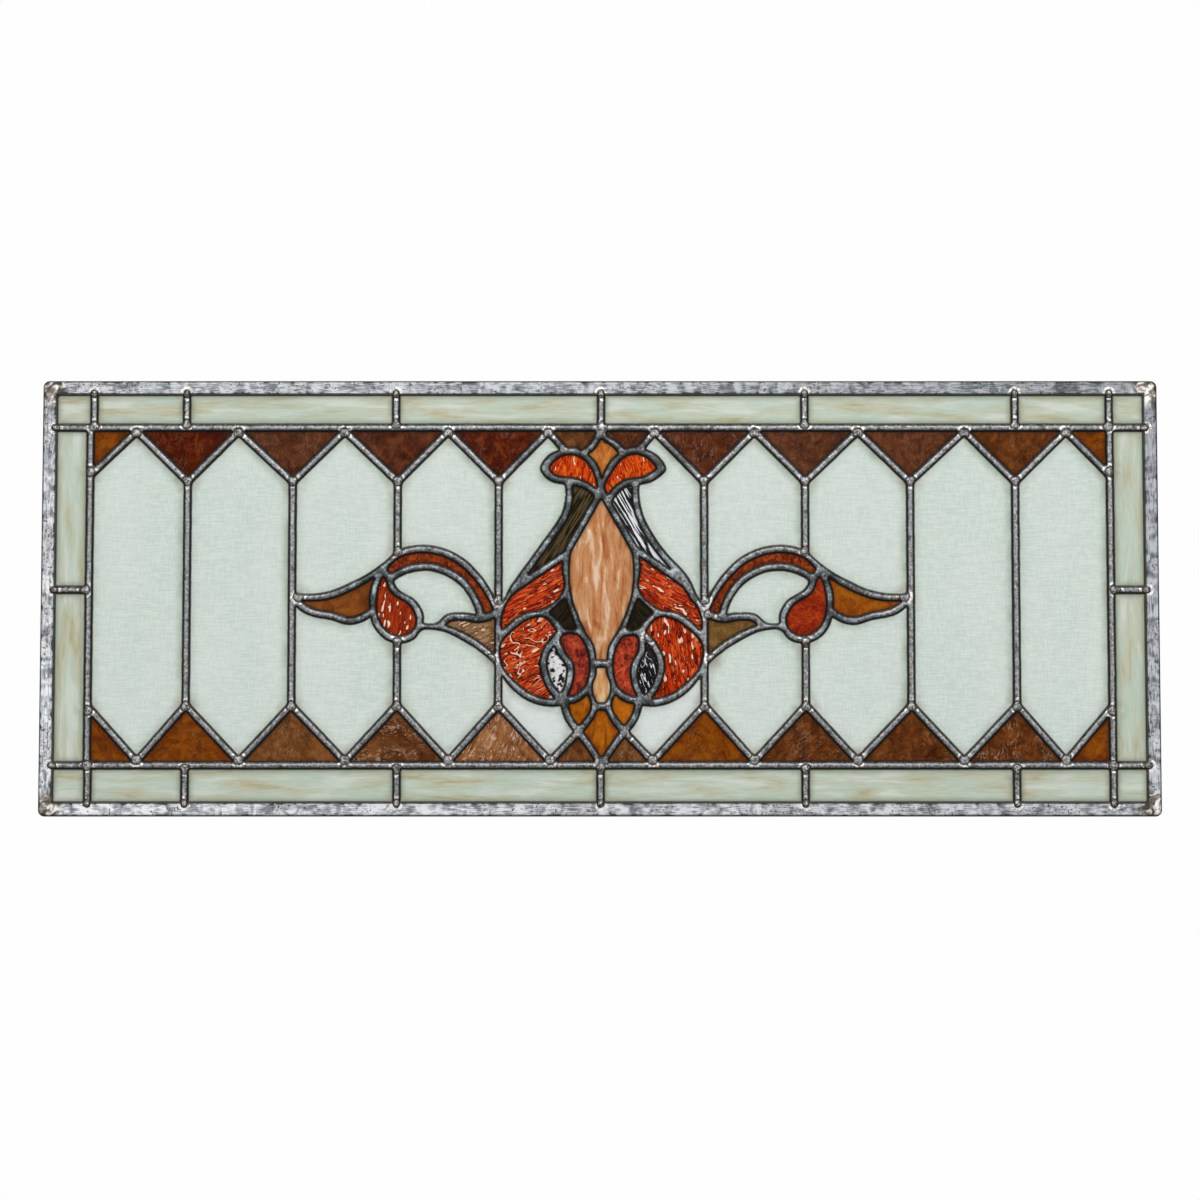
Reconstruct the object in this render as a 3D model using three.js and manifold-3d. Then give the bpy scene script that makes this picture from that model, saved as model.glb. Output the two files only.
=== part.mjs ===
// A leaded-glass window panel: a zinc-edged transom light, 41 by 16 inches.
// Ninety pieces of coloured glass sit in one soldered lattice of lead came, with a
// zinc edge came folded round the outside.
//
// Millimetres, +Z up. The front faces -Y and +X is to the right. The origin is on the
// underside of the zinc edge, at the middle of its length and of its depth.

import * as THREE from "three";
import { mergeVertices } from "three/addons/utils/BufferGeometryUtils.js";
import Module from "manifold-3d";

const wasm = await Module();
wasm.setup();

// ---------------------------------------------------------------- driving dimensions

const PANEL_WIDTH = 1041;
const PANEL_HEIGHT = 406.4;
const CLEARANCE = 0.3; // between neighbouring pieces, filled with putty on the real panel

const ZINC_FACE = 13.5; // how far the edge came covers the glass
const ZINC_DEPTH = 7;
const ZINC_LEAF = 1.2; // thickness of the edge came's front and back leaves
const ZINC_WEB = 2.2; // thickness of its outer side, which the corner is rounded off
const ZINC_CORNER_RADIUS = 6;

const CAME_FACE = 7; // width of the lead leaves
const CAME_DEPTH = 6.4; // over both leaves
const CAME_HEART = 1.6; // thickness of the web between two pieces of glass
const GLASS_THICKNESS = 3;
const CHANNEL = GLASS_THICKNESS + 2 * CLEARANCE; // between the leaves
const RUN_ON = 0.15; // how far a strip of came runs past its end, in widths

// The cartoon: heights above the bottom edge, and distances out from its middle line,
// which was set slightly to the right of the panel's own middle.
const MIDDLE_X = 1.3;
const BORDER_X = 475.8; // the border came, from the panel's own middle
const BORDER_TOP = 362.4;
const BORDER_BOTTOM = 47.3;
const PEAK_UP = 359; // where the zigzags turn at the border
const TIP_UP = 51;
const TOP_APEX_UP = 311.6; // where the zigzags turn at the uprights
const BOTTOM_APEX_UP = 103;
const HALF_POINT_TOP = 317.5; // where the outermost zigzags meet the border came
const HALF_POINT_BOTTOM = 102;
const UPRIGHTS = [95.8, 190, 288, 386];
const PEAKS = [49.5, 143, 239.5, 339, 434];
const TIPS = [47.5, 142, 238, 336.5, 431];
const TOP_STUBS = [-472.5, -386, -190.5, 1, 191, 387.5, 475.5];
const BOTTOM_STUBS = [-475, -385, -188.5, 0.5, 190.5, 386.5, 476];
const SIDE_STUB_UP = 210.5;

const HEAD_TIPS = [-53.8, 57]; // the outer tips of the two heads, left and right
const HEAD_TIP_UP = 324;
const SMALLEST_GLASS = 150; // square millimetres

const CURVE_TOLERANCE = 0.9; // how far a facet may stand off its true curve
const CORNER_FACETS = 6;
const SOLDER_FACETS = 8;
const CUTTER_PROUD = 1; // how far a cutter stands out of what it cuts, on each side
const WELD = 1e-4; // corners closer than this are one corner

// ------------------------------------------------------------------------- the solids

// A closed geometry as a solid that can be cut and joined.
function solid(geometry) {
  const bare = new THREE.BufferGeometry().setIndex(geometry.index);
  bare.setAttribute("position", geometry.attributes.position);
  const merged = mergeVertices(bare, WELD);
  return new wasm.Manifold(new wasm.Mesh({
    numProp: 3,
    vertProperties: new Float32Array(merged.attributes.position.array),
    triVerts: new Uint32Array(merged.index.array),
  }));
}

// A plate of the given outline, drawn as seen from the front, centred on the glass plane.
function plate(shape, depth) {
  const geometry = new THREE.ExtrudeGeometry(shape, {
    depth,
    bevelEnabled: false,
    curveSegments: CORNER_FACETS,
  });
  geometry.rotateX(Math.PI / 2);
  geometry.translate(0, depth / 2, 0);
  return solid(geometry);
}

// A plate that reaches right through a sheet of the given thickness.
function cutter(shape, thickness) {
  return plate(shape, thickness + 2 * CUTTER_PROUD);
}

function rectangle(left, bottom, right, top) {
  return new THREE.Shape([[left, bottom], [right, bottom], [right, top], [left, top]]
    .map(([x, up]) => new THREE.Vector2(x, up)));
}

// The panel's outer rectangle drawn in by a margin.
function panelRectangle(margin) {
  const half = PANEL_WIDTH / 2 - margin;
  return rectangle(-half, margin, half, PANEL_HEIGHT - margin);
}

// The outline of a strip of constant width along a line of points, mitred at each bend
// and run on a little at both ends, so that strips which meet leave no notch.
function ribbon(points, width) {
  const sides = [[], []];
  points.forEach((point, i) => {
    const before = points[Math.max(i - 1, 0)];
    const after = points[Math.min(i + 1, points.length - 1)];
    const into = (i > 0 ? point.clone().sub(before) : after.clone().sub(point)).normalize();
    const out = (after !== point ? after.clone().sub(point) : into.clone()).normalize();
    const along = into.clone().add(out).normalize();
    const across = new THREE.Vector2(-along.y, along.x);
    const reach = width / 2 / along.dot(into);
    const end = (after === point) - (before === point);
    const middle = point.clone().addScaledVector(along, end * RUN_ON * width);
    sides[0].push(middle.clone().addScaledVector(across, reach));
    sides[1].unshift(middle.clone().addScaledVector(across, -reach));
  });
  return new THREE.Shape([...sides[0], ...sides[1]]);
}

function join(solids) {
  return solids.reduce((whole, next) => whole.add(next));
}

// ------------------------------------------------------------------------ the cartoon

// A run of came through its points: straight between two, a smooth curve through more.
// Each facet of the curve reaches as far as the tolerance allows.
function run(...points) {
  const knots = points.map(([x, up]) => new THREE.Vector2(x, up));
  if (knots.length === 2) return knots;
  const curve = new THREE.SplineCurve(knots);
  const fine = curve.getSpacedPoints(Math.ceil(curve.getLength() / 2));
  const facets = [fine[0]];
  let start = 0;
  for (let end = 2; end < fine.length; end++) {
    const chord = fine[end].clone().sub(fine[start]);
    const strays = fine.slice(start + 1, end).some((point) => {
      const stand = chord.cross(point.clone().sub(fine[start])) / chord.length();
      return Math.abs(stand) > CURVE_TOLERANCE;
    });
    if (strays) {
      start = end - 1;
      facets.push(fine[start]);
    }
  }
  facets.push(fine[fine.length - 1]);
  return facets;
}

// The straight lines round the panel: the border came and its stubs to the zinc.
function border() {
  const edge = PANEL_WIDTH / 2;
  return [
    run([-edge, BORDER_TOP], [edge, BORDER_TOP]),
    run([-edge, BORDER_BOTTOM], [edge, BORDER_BOTTOM]),
    ...TOP_STUBS.map((x) => run([x, BORDER_TOP], [x, PANEL_HEIGHT])),
    ...BOTTOM_STUBS.map((x) => run([x, 0], [x, BORDER_BOTTOM])),
    ...[-1, 1].flatMap((side) => [
      run([side * BORDER_X, BORDER_BOTTOM], [side * BORDER_X, BORDER_TOP]),
      run([side * BORDER_X, SIDE_STUB_UP], [side * edge, SIDE_STUB_UP]),
    ]),
  ];
}

// One half of the cartoon. Points are [out from the middle line, up]; where the two hands
// of the panel differ, either() gives the left-hand value and then the right-hand one.
function half(side) {
  const either = (left, right) => (side < 0 ? left : right);
  const borderOut = BORDER_X - side * MIDDLE_X;
  const [first, second, third, fourth] = UPRIGHTS;
  const last = PEAKS.length - 1;

  const uprights = [
    [[first, TOP_APEX_UP], [first, BOTTOM_APEX_UP]],
    [[second, TOP_APEX_UP], [second, 243.4]],
    [[second, 164], [second, BOTTOM_APEX_UP]],
    [[third, TOP_APEX_UP], [third, BOTTOM_APEX_UP]],
    [[fourth, TOP_APEX_UP], [fourth, BOTTOM_APEX_UP]],
  ];

  const zigzags = [
    ...UPRIGHTS.flatMap((out, i) => [
      [[PEAKS[i], PEAK_UP], [out, TOP_APEX_UP]],
      [[out, TOP_APEX_UP], [PEAKS[i + 1], PEAK_UP]],
      [[TIPS[i], TIP_UP], [out, BOTTOM_APEX_UP]],
      [[out, BOTTOM_APEX_UP], [TIPS[i + 1], TIP_UP]],
    ]),
    [[PEAKS[last], PEAK_UP], [borderOut, HALF_POINT_TOP]],
    [[TIPS[last], TIP_UP], [borderOut, HALF_POINT_BOTTOM]],
    ...PEAKS.map((out) => [[out, PEAK_UP], [out, BORDER_TOP]]),
    ...TIPS.map((out) => [[out, TIP_UP], [out, BORDER_BOTTOM]]),
  ];

  const headTip = [either(-HEAD_TIPS[0], HEAD_TIPS[1]), HEAD_TIP_UP];
  const crown = [
    [[0, BORDER_TOP], [either(2, 1), 355.5], either([8.2, 346.2], [9.8, 349.8]),
      either([17.1, 337.8], [20.3, 339])], // kite
    [[PEAKS[0], PEAK_UP], either([33.4, 340.4], [35.3, 341.2])],
    [headTip, ...either( // top of the head
      [[44.2, 335.2], [33.6, 340.2], [25.6, 340.4], [17.1, 337.2], [9.9, 330.8], [5.3, 322.1]],
      [[49.3, 332.2], [41.6, 338.2], [34.9, 341], [27.2, 340.6], [20, 337.6], [14.6, 332.6],
        [9.4, 326.6], [5.3, 319.4]]),
      [2.8, 311.4], [0, 302.5]],
    [headTip, ...either( // and its underside
      [[45.5, 315.8], [37.8, 312.9], [30.1, 312.8], [24.2, 311.9], [17.5, 309], [10.5, 304.6],
        [2, 299.2]],
      [[45, 315.4], [37.4, 312.8], [29.7, 312.4], [22.2, 310], [15.2, 305.2], [10.2, 299.6],
        [5.5, 293]])],
    either( // outside the stem
      [[30.4, 312.6], [30.2, 302], [31.4, 288], [34.2, 279.5], [38.6, 271.8], [45.8, 261.9],
        [53.2, 251.3], [60.7, 241.2], [68.2, 231.2], [76.4, 220.3], [84.6, 205.6]],
      [[31.5, 312.6], [31.5, 301.8], [32.2, 292.2], [34.8, 282.3], [38.9, 272], [44, 262],
        [50.2, 251.8], [58, 242.6], [66.9, 233.2], [75.2, 223.6], [82, 213.6], [86, 203.4]]),
  ];

  const lidJoint = [either(37.5, 40), 106.3]; // where eye, kidney and round petal meet
  const flower = [
    [[0, 303], [14, 280], [24.5, 260.5], [32, 244.5], [33, 226], [32.2, 209.5], [25.5, 190.5],
      [18.3, 170.5]], // almond
    either(
      [[32, 244.6], [49, 233.8], [59.2, 227], [69.2, 219.8], [76, 214.6], [81.3, 210.6], [88, 200],
        [first, 187]],
      [[32.3, 247.6], [40, 242.2], [48, 236.9], [57.2, 231.2], [66.2, 225], [74.4, 218.4],
        [81.3, 211], [88, 200], [first, 187]]), // top of the upper petal
    [[32.4, 208.7], [38.2, 202.5], [45.2, 196.4], [53.5, 189]],
    [[53.5, 189], [45, 182], [36.5, 171.8]], // under the wedge
    [[36.5, 171.8], [28, 171.8], [18.3, 170.5]],
    [[53.5, 188.8], [65, 187.5], [75, 182.8], [85, 175], [first, 163.5]],
    [[first, 140.5], [85, 126], [76.5, 117.5], [62.5, 109], [50, 105.6], lidJoint],
    [[36.5, 171.8], [46, 162], [either(53, 54), 148], [either(53.3, 55.4), 135],
      [either(46, 50), 120.5], lidJoint], // outside the eye
    [[either(42.5, 36.5), either(165, 171)], [either(37.5, 38), either(151.5, 156)],
      [either(30.3, 31.8), 143], [either(29, 30.5), 130], [either(33, 33.6), 117],
      lidJoint], // between eye and kidney
    [[18.3, 170.5], [10.5, 157.5], [7.8, 141.7], [9, 129], [12, 119.5], [18, 112.8], [27, 108.3],
      lidJoint], // kidney and tail
    [[12, 119.5], [6, 101.8]],
    [[35.2, 107.2], [32.8, 97], [28.8, 88.5], [21.2, 78.7]], // small amber
    [[6, 101.8], [9.3, 94], [14.4, 86.5], [21.2, 78.7]],
    [[21.2, 78.7], [TIPS[0], TIP_UP]],
    [[21.2, 78.7], [12, 67], [0, BORDER_BOTTOM]], // diamond
  ];

  const scroll = [
    [[third, 203.6], [268, 203.7], [254, 205.3], [240.5, 209.8], [225.5, 217.5], [207, 228],
      [198.5, 236], [second, 243.4], [179, 247.5], [165, 248.5], [150, 246.2], [136, 240.3],
      [124, 231.5], [114.5, 220.5], [107, 209], [first, 190]],
    [[third, 203.4], [279.3, 195], [271, 191.4], [258, 189], [246.5, 184.5], [235, 181.7],
      [225, 183.5], [212, 191.2]],
    [[205, 230], [210.5, 214], [213, 196], [209.4, 180], [200.5, 168.5], [189, 164]], // drop
    [[189, 164], [177.5, 167], [170.5, 174], [168.7, 182.6], [171.8, 193], [179, 200.6],
      [188.5, 206.3], [194.7, 212.5], [197.3, 221], [205, 230]],
    [[197.3, 221], [187, 227], [176, 231], [165, 232.2], [152.5, 230.8], [141, 226], [130.5, 219],
      [122, 209], [116, 198], [111.5, 184.5]],
    [[151.5, 176.5], [145, 183], [135, 185.8], [125, 185], [115, 183.3], [105, 185], [first, 189]],
    [[151.5, 176.5], [142.5, 173], [133, 169.5], [124, 164.5], [114.5, 158], [105, 151],
      [first, 143.5]],
    [[169, 176], [151.5, 176.5]], // link
  ];

  return [...uprights, ...zigzags, ...crown, ...flower, ...scroll].map((points) =>
    run(...points.map(([out, up]) => [MIDDLE_X + side * out, up])));
}

// The two cross pieces above and below the tail.
const crossPieces = [
  run([MIDDLE_X - 8, 141.7], [MIDDLE_X + 8, 141.7]),
  run([MIDDLE_X - 6, 101.8], [MIDDLE_X + 6, 101.8]),
];

const leading = [...border(), ...half(-1), ...half(1), ...crossPieces];

// ----------------------------------------------------------- cutting along the cartoon

// A sheet cut apart by a kerf along every run of came, as separate pieces. The slivers
// where two runs draw together are left out: there the lead closes up.
function cutApart(margin, thickness, kerf) {
  const sheet = plate(panelRectangle(margin), thickness);
  const cuts = leading.map((points) => cutter(ribbon(points, kerf), thickness));
  const tips = HEAD_TIPS.map((out) => {
    const depth = thickness + 2 * CUTTER_PROUD;
    const solder = new THREE.CylinderGeometry(kerf / 2, kerf / 2, depth, SOLDER_FACETS);
    return solid(solder.translate(MIDDLE_X + out, 0, HEAD_TIP_UP));
  });
  return loosePieces(sheet.subtract(join([...cuts, ...tips])).getMesh())
    .filter((piece) => planArea(piece) > SMALLEST_GLASS);
}

// Sorts a mesh's triangles into pieces that share no corner.
function loosePieces({ vertProperties, triVerts }) {
  const leader = Array.from({ length: vertProperties.length / 3 }, (_, i) => i);
  const find = (i) => {
    while (leader[i] !== i) i = leader[i] = leader[leader[i]];
    return i;
  };
  for (let t = 0; t < triVerts.length; t += 3) {
    leader[find(triVerts[t])] = find(triVerts[t + 1]);
    leader[find(triVerts[t + 1])] = find(triVerts[t + 2]);
  }
  const pieces = new Map();
  for (let t = 0; t < triVerts.length; t += 3) {
    const key = find(triVerts[t]);
    if (!pieces.has(key)) pieces.set(key, []);
    for (const i of triVerts.subarray(t, t + 3)) {
      pieces.get(key).push(...vertProperties.subarray(3 * i, 3 * i + 3));
    }
  }
  return [...pieces.values()].map((corners) => {
    const geometry = new THREE.BufferGeometry();
    geometry.setAttribute("position", new THREE.Float32BufferAttribute(corners, 3));
    return mergeVertices(geometry, WELD);
  });
}

// A piece's triangles, each laid flat on the glass plane.
function flatTriangles(piece) {
  const corner = (i) => {
    const point = new THREE.Vector3().fromBufferAttribute(piece.attributes.position, i);
    return point.setY(0);
  };
  const corners = Array.from(piece.index.array, corner);
  return Array.from({ length: corners.length / 3 }, (_, t) =>
    new THREE.Triangle(...corners.slice(3 * t, 3 * t + 3)));
}

// A piece's area seen from the front; its triangles cover it once front and once back.
function planArea(piece) {
  return flatTriangles(piece).reduce((sum, triangle) => sum + triangle.getArea() / 2, 0);
}

// Whether a piece lies over a point of the cartoon.
function covers(piece, x, up) {
  const point = new THREE.Vector3(x, 0, up);
  return flatTriangles(piece).some((triangle) =>
    triangle.getArea() > 1e-6 && triangle.containsPoint(point));
}

// --------------------------------------------------------------------- lead and zinc

// An H-section lattice: a plate of the full depth inside the zinc, with the openings cut
// through it and the channels for the glass cut round them, as far as the hearts.
function leadLattice() {
  const openings = cutApart(0, CAME_DEPTH + 2 * CUTTER_PROUD, CAME_FACE).map(solid);
  const channels = cutApart(0, CHANNEL, CAME_HEART).map(solid);
  return plate(panelRectangle(ZINC_FACE + CLEARANCE), CAME_DEPTH)
    .subtract(join(openings))
    .subtract(join(channels));
}

// A U-section frame folded at rounded corners.
function zincEdge() {
  const half = PANEL_WIDTH / 2;
  const r = ZINC_CORNER_RADIUS;
  const outline = new THREE.Shape();
  outline.absarc(half - r, r, r, -Math.PI / 2, 0);
  outline.absarc(half - r, PANEL_HEIGHT - r, r, 0, Math.PI / 2);
  outline.absarc(-half + r, PANEL_HEIGHT - r, r, Math.PI / 2, Math.PI);
  outline.absarc(-half + r, r, r, Math.PI, Math.PI * 1.5);
  return plate(outline, ZINC_DEPTH)
    .subtract(cutter(panelRectangle(ZINC_FACE), ZINC_DEPTH))
    .subtract(plate(panelRectangle(ZINC_WEB), ZINC_DEPTH - 2 * ZINC_LEAF));
}

// ------------------------------------------------------------------------ the window

const lead = { color: 0x8a8a88, roughness: 0.5, metalness: 0.8 };
const zinc = { color: 0xb4b4b0, roughness: 0.5, metalness: 0.8 };
const pale = { color: 0xcdd9d0, roughness: 0.15, metalness: 0 };
const cream = { color: 0xcbd0b8, roughness: 0.2, metalness: 0 };
const scarlet = { color: 0xd43c10, roughness: 0.15, metalness: 0 };
const ruby = { color: 0x9c2a1e, roughness: 0.15, metalness: 0 };
const amber = { color: 0xa9600f, roughness: 0.15, metalness: 0 };
const tan = { color: 0x8a5a30, roughness: 0.15, metalness: 0 };
const peach = { color: 0xc88c5a, roughness: 0.2, metalness: 0 };
const black = { color: 0x2a2619, roughness: 0.1, metalness: 0 };

// Glass that has a twin on the other hand: its name, a point on it and its colour.
const PAIRED = [
  ["head", [30, 325], scarlet],
  ["stem", [30, 280], black],
  ["upper_petal", [60, 210], scarlet],
  ["wedge", [36, 190], black],
  ["round_petal", [72, 150], scarlet],
  ["eye", [42, 135], black],
  ["kidney", [20, 135], ruby],
  ["small_amber", [22, 95], amber],
  ["leaf", [240, 195], amber],
  ["drop", [190, 185], scarlet],
  ["arc", [150, 238], ruby],
  ["small_leaf", [115, 172], tan],
];
const CENTRAL = [
  ["kite", [0, 335], amber],
  ["almond", [0, 225], peach],
  ["tail", [0, 120], peach],
  ["base_diamond", [0, 75], amber],
];
// The pale panes of one half, column by column from the middle line outwards.
const PALE_COLUMNS = [
  [["_upper", [75, 290]], ["_lower", [60, 85]]],
  [["_upper", [143, 290]], ["_inner", [145, 205]], ["_lower", [143, 120]]],
  [["_upper", [240, 260]], ["_lower", [240, 130]]],
  [["", [337, 205]]],
  [["", [431, 205]]],
];

const glassPieces = cutApart(ZINC_WEB + CLEARANCE, GLASS_THICKNESS, CAME_HEART + 2 * CLEARANCE);

function glass(name, [x, up], finish) {
  const piece = glassPieces.find((candidate) => covers(candidate, x, up));
  return meshOf(name, piece.clone(), finish);
}

// A named mesh whose own origin is at its middle.
function meshOf(name, geometry, finish) {
  geometry.computeBoundingBox();
  const centre = geometry.boundingBox.getCenter(new THREE.Vector3());
  geometry.translate(-centre.x, -centre.y, -centre.z);
  geometry.computeVertexNormals();
  const mesh = new THREE.Mesh(geometry, new THREE.MeshStandardMaterial(finish));
  mesh.name = name;
  mesh.position.copy(centre);
  return mesh;
}

function metal(name, piece, finish) {
  const { vertProperties, triVerts } = piece.getMesh();
  const geometry = new THREE.BufferGeometry();
  geometry.setAttribute("position", new THREE.BufferAttribute(vertProperties, 3));
  geometry.setIndex(new THREE.BufferAttribute(triVerts, 1));
  return meshOf(name, geometry, finish);
}

function motif() {
  const group = new THREE.Group();
  for (const [name, [out, up], finish] of CENTRAL) {
    group.add(glass(name, [MIDDLE_X + out, up], finish));
  }
  for (const [name, [out, up], finish] of PAIRED) {
    group.add(glass(`${name}_left`, [MIDDLE_X - out, up], finish));
    group.add(glass(`${name}_right`, [MIDDLE_X + out, up], finish));
  }
  return group;
}

// The background, numbered by columns from left to right.
function palePanes() {
  const group = new THREE.Group();
  PALE_COLUMNS.forEach((panes, i) => {
    for (const [suffix, [out, up]] of panes) {
      group.add(glass(`pale_${5 - i}${suffix}`, [MIDDLE_X - out, up], pale));
      group.add(glass(`pale_${6 + i}${suffix}`, [MIDDLE_X + out, up], pale));
    }
  });
  return group;
}

// The long strips above and below, numbered from left to right.
function borderStrips() {
  const group = new THREE.Group();
  const rows = [
    ["top", TOP_STUBS, (BORDER_TOP + PANEL_HEIGHT) / 2],
    ["bottom", BOTTOM_STUBS, BORDER_BOTTOM / 2],
  ];
  for (const [row, stubs, up] of rows) {
    for (let i = 0; i < stubs.length - 1; i++) {
      const x = (stubs[i] + stubs[i + 1]) / 2;
      group.add(glass(`border_${row}_${i + 1}`, [x, up], cream));
    }
  }
  return group;
}

const panel = new THREE.Group();
panel.add(metal("zinc_edge", zincEdge(), zinc));
panel.add(metal("lead_lattice", leadLattice(), lead));
panel.add(motif(), palePanes(), borderStrips());

export default panel;
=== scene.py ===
import itertools
import math
import random

import bmesh
import bpy
import numpy as np
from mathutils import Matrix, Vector, kdtree, noise
from mathutils.geometry import delaunay_2d_cdt


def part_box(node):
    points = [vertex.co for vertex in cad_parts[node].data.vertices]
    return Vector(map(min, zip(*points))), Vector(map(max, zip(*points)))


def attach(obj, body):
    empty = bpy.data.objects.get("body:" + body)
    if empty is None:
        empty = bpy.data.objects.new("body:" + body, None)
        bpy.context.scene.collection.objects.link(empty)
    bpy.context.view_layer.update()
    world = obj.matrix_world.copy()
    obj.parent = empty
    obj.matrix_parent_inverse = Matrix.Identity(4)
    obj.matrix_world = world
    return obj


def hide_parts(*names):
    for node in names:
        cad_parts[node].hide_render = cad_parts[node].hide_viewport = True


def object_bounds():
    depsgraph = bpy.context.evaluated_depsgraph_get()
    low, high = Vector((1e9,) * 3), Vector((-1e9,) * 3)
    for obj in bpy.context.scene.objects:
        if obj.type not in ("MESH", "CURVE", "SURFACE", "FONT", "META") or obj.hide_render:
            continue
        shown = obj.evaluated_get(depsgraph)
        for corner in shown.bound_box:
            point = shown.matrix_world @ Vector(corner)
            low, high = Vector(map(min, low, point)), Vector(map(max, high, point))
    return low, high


# A leaded stained glass panel, 41 by 16 inches, made to be set in a window frame.
# Ninety panes of glass are held in one soldered net of lead came, inside a folded zinc
# edge. Shapes are worked out in millimetres, as [across, up] seen from the front.

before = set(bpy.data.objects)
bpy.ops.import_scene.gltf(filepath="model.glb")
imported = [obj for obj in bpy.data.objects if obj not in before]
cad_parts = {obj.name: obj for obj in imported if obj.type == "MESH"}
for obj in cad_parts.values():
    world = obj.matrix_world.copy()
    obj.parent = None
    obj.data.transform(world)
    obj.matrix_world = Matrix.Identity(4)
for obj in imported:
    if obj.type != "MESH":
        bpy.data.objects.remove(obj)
cad_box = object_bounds()


# ---------------------------------------------------------------- studio
# The panel hangs before white paper and is looked at from level with its bottom edge. A
# wide soft light stands above it and in front, and weaker ones lower down at the sides.

MM = 0.001
PAPER_WHITE = (0.99, 0.99, 0.99)
FLOOR_GREY = (0.3, 0.3, 0.3)  # what the floor gives back to the panel
# the room's light from straight down, 0, to straight up, 1
ROOM = ((0.42, (0.015, 0.015, 0.015)), (0.5, (0.05, 0.05, 0.052)), (0.64, (0.10, 0.105, 0.11)),
        (0.8, (0.46, 0.48, 0.51)))
CAMERA_DISTANCE = 2.8
CAMERA_LOOKS_UP = math.radians(4.1)
CAMERA_AIMS_BELOW_MIDDLE = 0.002
SENSOR = 36
FRAME_WIDTH = 1.1174  # metres of the panel's plane that the camera takes in
FLOOR_DROP = 0.4  # from the panel's bottom edge down to the floor
FLOOR_HALF = 40

scene = bpy.context.scene
scene.view_settings.view_transform = "Standard"
panel_middle = (cad_box[0] + cad_box[1]) / 2
panel_low = cad_box[0].z

camera_data = bpy.data.cameras.new("camera")
camera_data.sensor_width = SENSOR
camera_data.lens = SENSOR * CAMERA_DISTANCE / FRAME_WIDTH
camera = bpy.data.objects.new("camera", camera_data)
scene.collection.objects.link(camera)
scene.camera = camera
aim = panel_middle - Vector((0, 0, CAMERA_AIMS_BELOW_MIDDLE))
look = Vector((0, math.cos(CAMERA_LOOKS_UP), math.sin(CAMERA_LOOKS_UP)))
camera.location = aim - CAMERA_DISTANCE * look
camera.rotation_euler = (math.pi / 2 + CAMERA_LOOKS_UP, 0, 0)


def soft_light(name, place, width, height, power):
    """A rectangular soft light that faces the middle of the panel."""
    light = bpy.data.lights.new(name, "AREA")
    light.shape = "RECTANGLE"
    light.size = width
    light.size_y = height
    light.energy = power
    lamp = bpy.data.objects.new(name, light)
    scene.collection.objects.link(lamp)
    lamp.location = place
    lamp.rotation_euler = (panel_middle - Vector(place)).to_track_quat("-Z", "Y").to_euler()


soft_light("key light", (0.4, -1.9, 1.7), 1.3, 0.5, 15)
soft_light("front light", (-0.1, -2.4, 1.2), 1.0, 0.25, 23)
soft_light("right light", (1.4, -2.2, 0.35), 0.3, 0.8, 14)
soft_light("left light", (-1.4, -2.2, 0.35), 0.3, 0.8, 13)


class Wire:
    """A socket in a node tree that can be used in sums."""

    def __init__(self, nodes, socket):
        self.nodes = nodes
        self.socket = socket

    def sum(self, operation, first, second):
        return self.nodes.node("ShaderNodeMath", {"operation": operation}, {0: first, 1: second})

    def __add__(self, other):
        return self.sum("ADD", self, other)

    def __sub__(self, other):
        return self.sum("SUBTRACT", self, other)

    def __rsub__(self, other):
        return self.sum("SUBTRACT", other, self)

    def __mul__(self, other):
        return self.sum("MULTIPLY", self, other)

    def __truediv__(self, other):
        return self.sum("DIVIDE", self, other)

    def __pow__(self, other):
        return self.sum("POWER", self, other)

    __radd__ = __add__
    __rmul__ = __mul__

    def peak(self, other):
        return self.sum("MAXIMUM", self, other)

    def between(self, low, high):
        """0 at low, 1 at high, and straight between them."""
        return self.nodes.node("ShaderNodeMapRange", {"clamp": True},
                               {"Value": self, "From Min": low, "From Max": high})

    def fading(self, full, gone):
        """1 up to the full value, 0 from the gone value on, and straight between them."""
        return 1 - self.between(full, gone)

    def near(self, middle, width):
        """1 where the wire is at the middle value, and 0 further off than the width."""
        return (1 - ((self - middle) / width) ** 2).peak(0)


class Nodes:
    """A node tree that is being put together, of the room or of a finish."""

    def __init__(self, tree):
        self.tree = tree

    def node(self, kind, settings=(), sockets=(), out=0):
        """Adds a node: its settings first, then its sockets' values and links. Returns its output."""
        made = self.tree.nodes.new(kind)
        for name, value in dict(settings).items():
            if name == "stops":
                stops = made.color_ramp.elements
                while len(stops) < len(value):
                    stops.new(1.0)
                for stop, (position, colour) in zip(stops, value):
                    stop.position = position
                    stop.color = (*colour, 1)
            else:
                setattr(made, name, value)
        for name, value in dict(sockets).items():
            self.join(value, made.inputs[name])
        return Wire(self, made.outputs[out])

    def join(self, value, socket):
        """Links a wire to a socket, or sets the socket to a plain value."""
        if isinstance(value, Wire):
            self.tree.links.new(value.socket, socket)
        elif isinstance(value, tuple) and socket.type == "RGBA":
            socket.default_value = (*value, 1)
        else:
            socket.default_value = value

    def colours(self, value, *stops):
        return self.node("ShaderNodeValToRGB", {"stops": stops}, {"Fac": value})

    def either(self, share, first, second):
        """The first shader where the share is 0, and the second where it is 1."""
        return self.node("ShaderNodeMixShader", (), {0: share, 1: first, 2: second})


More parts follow.
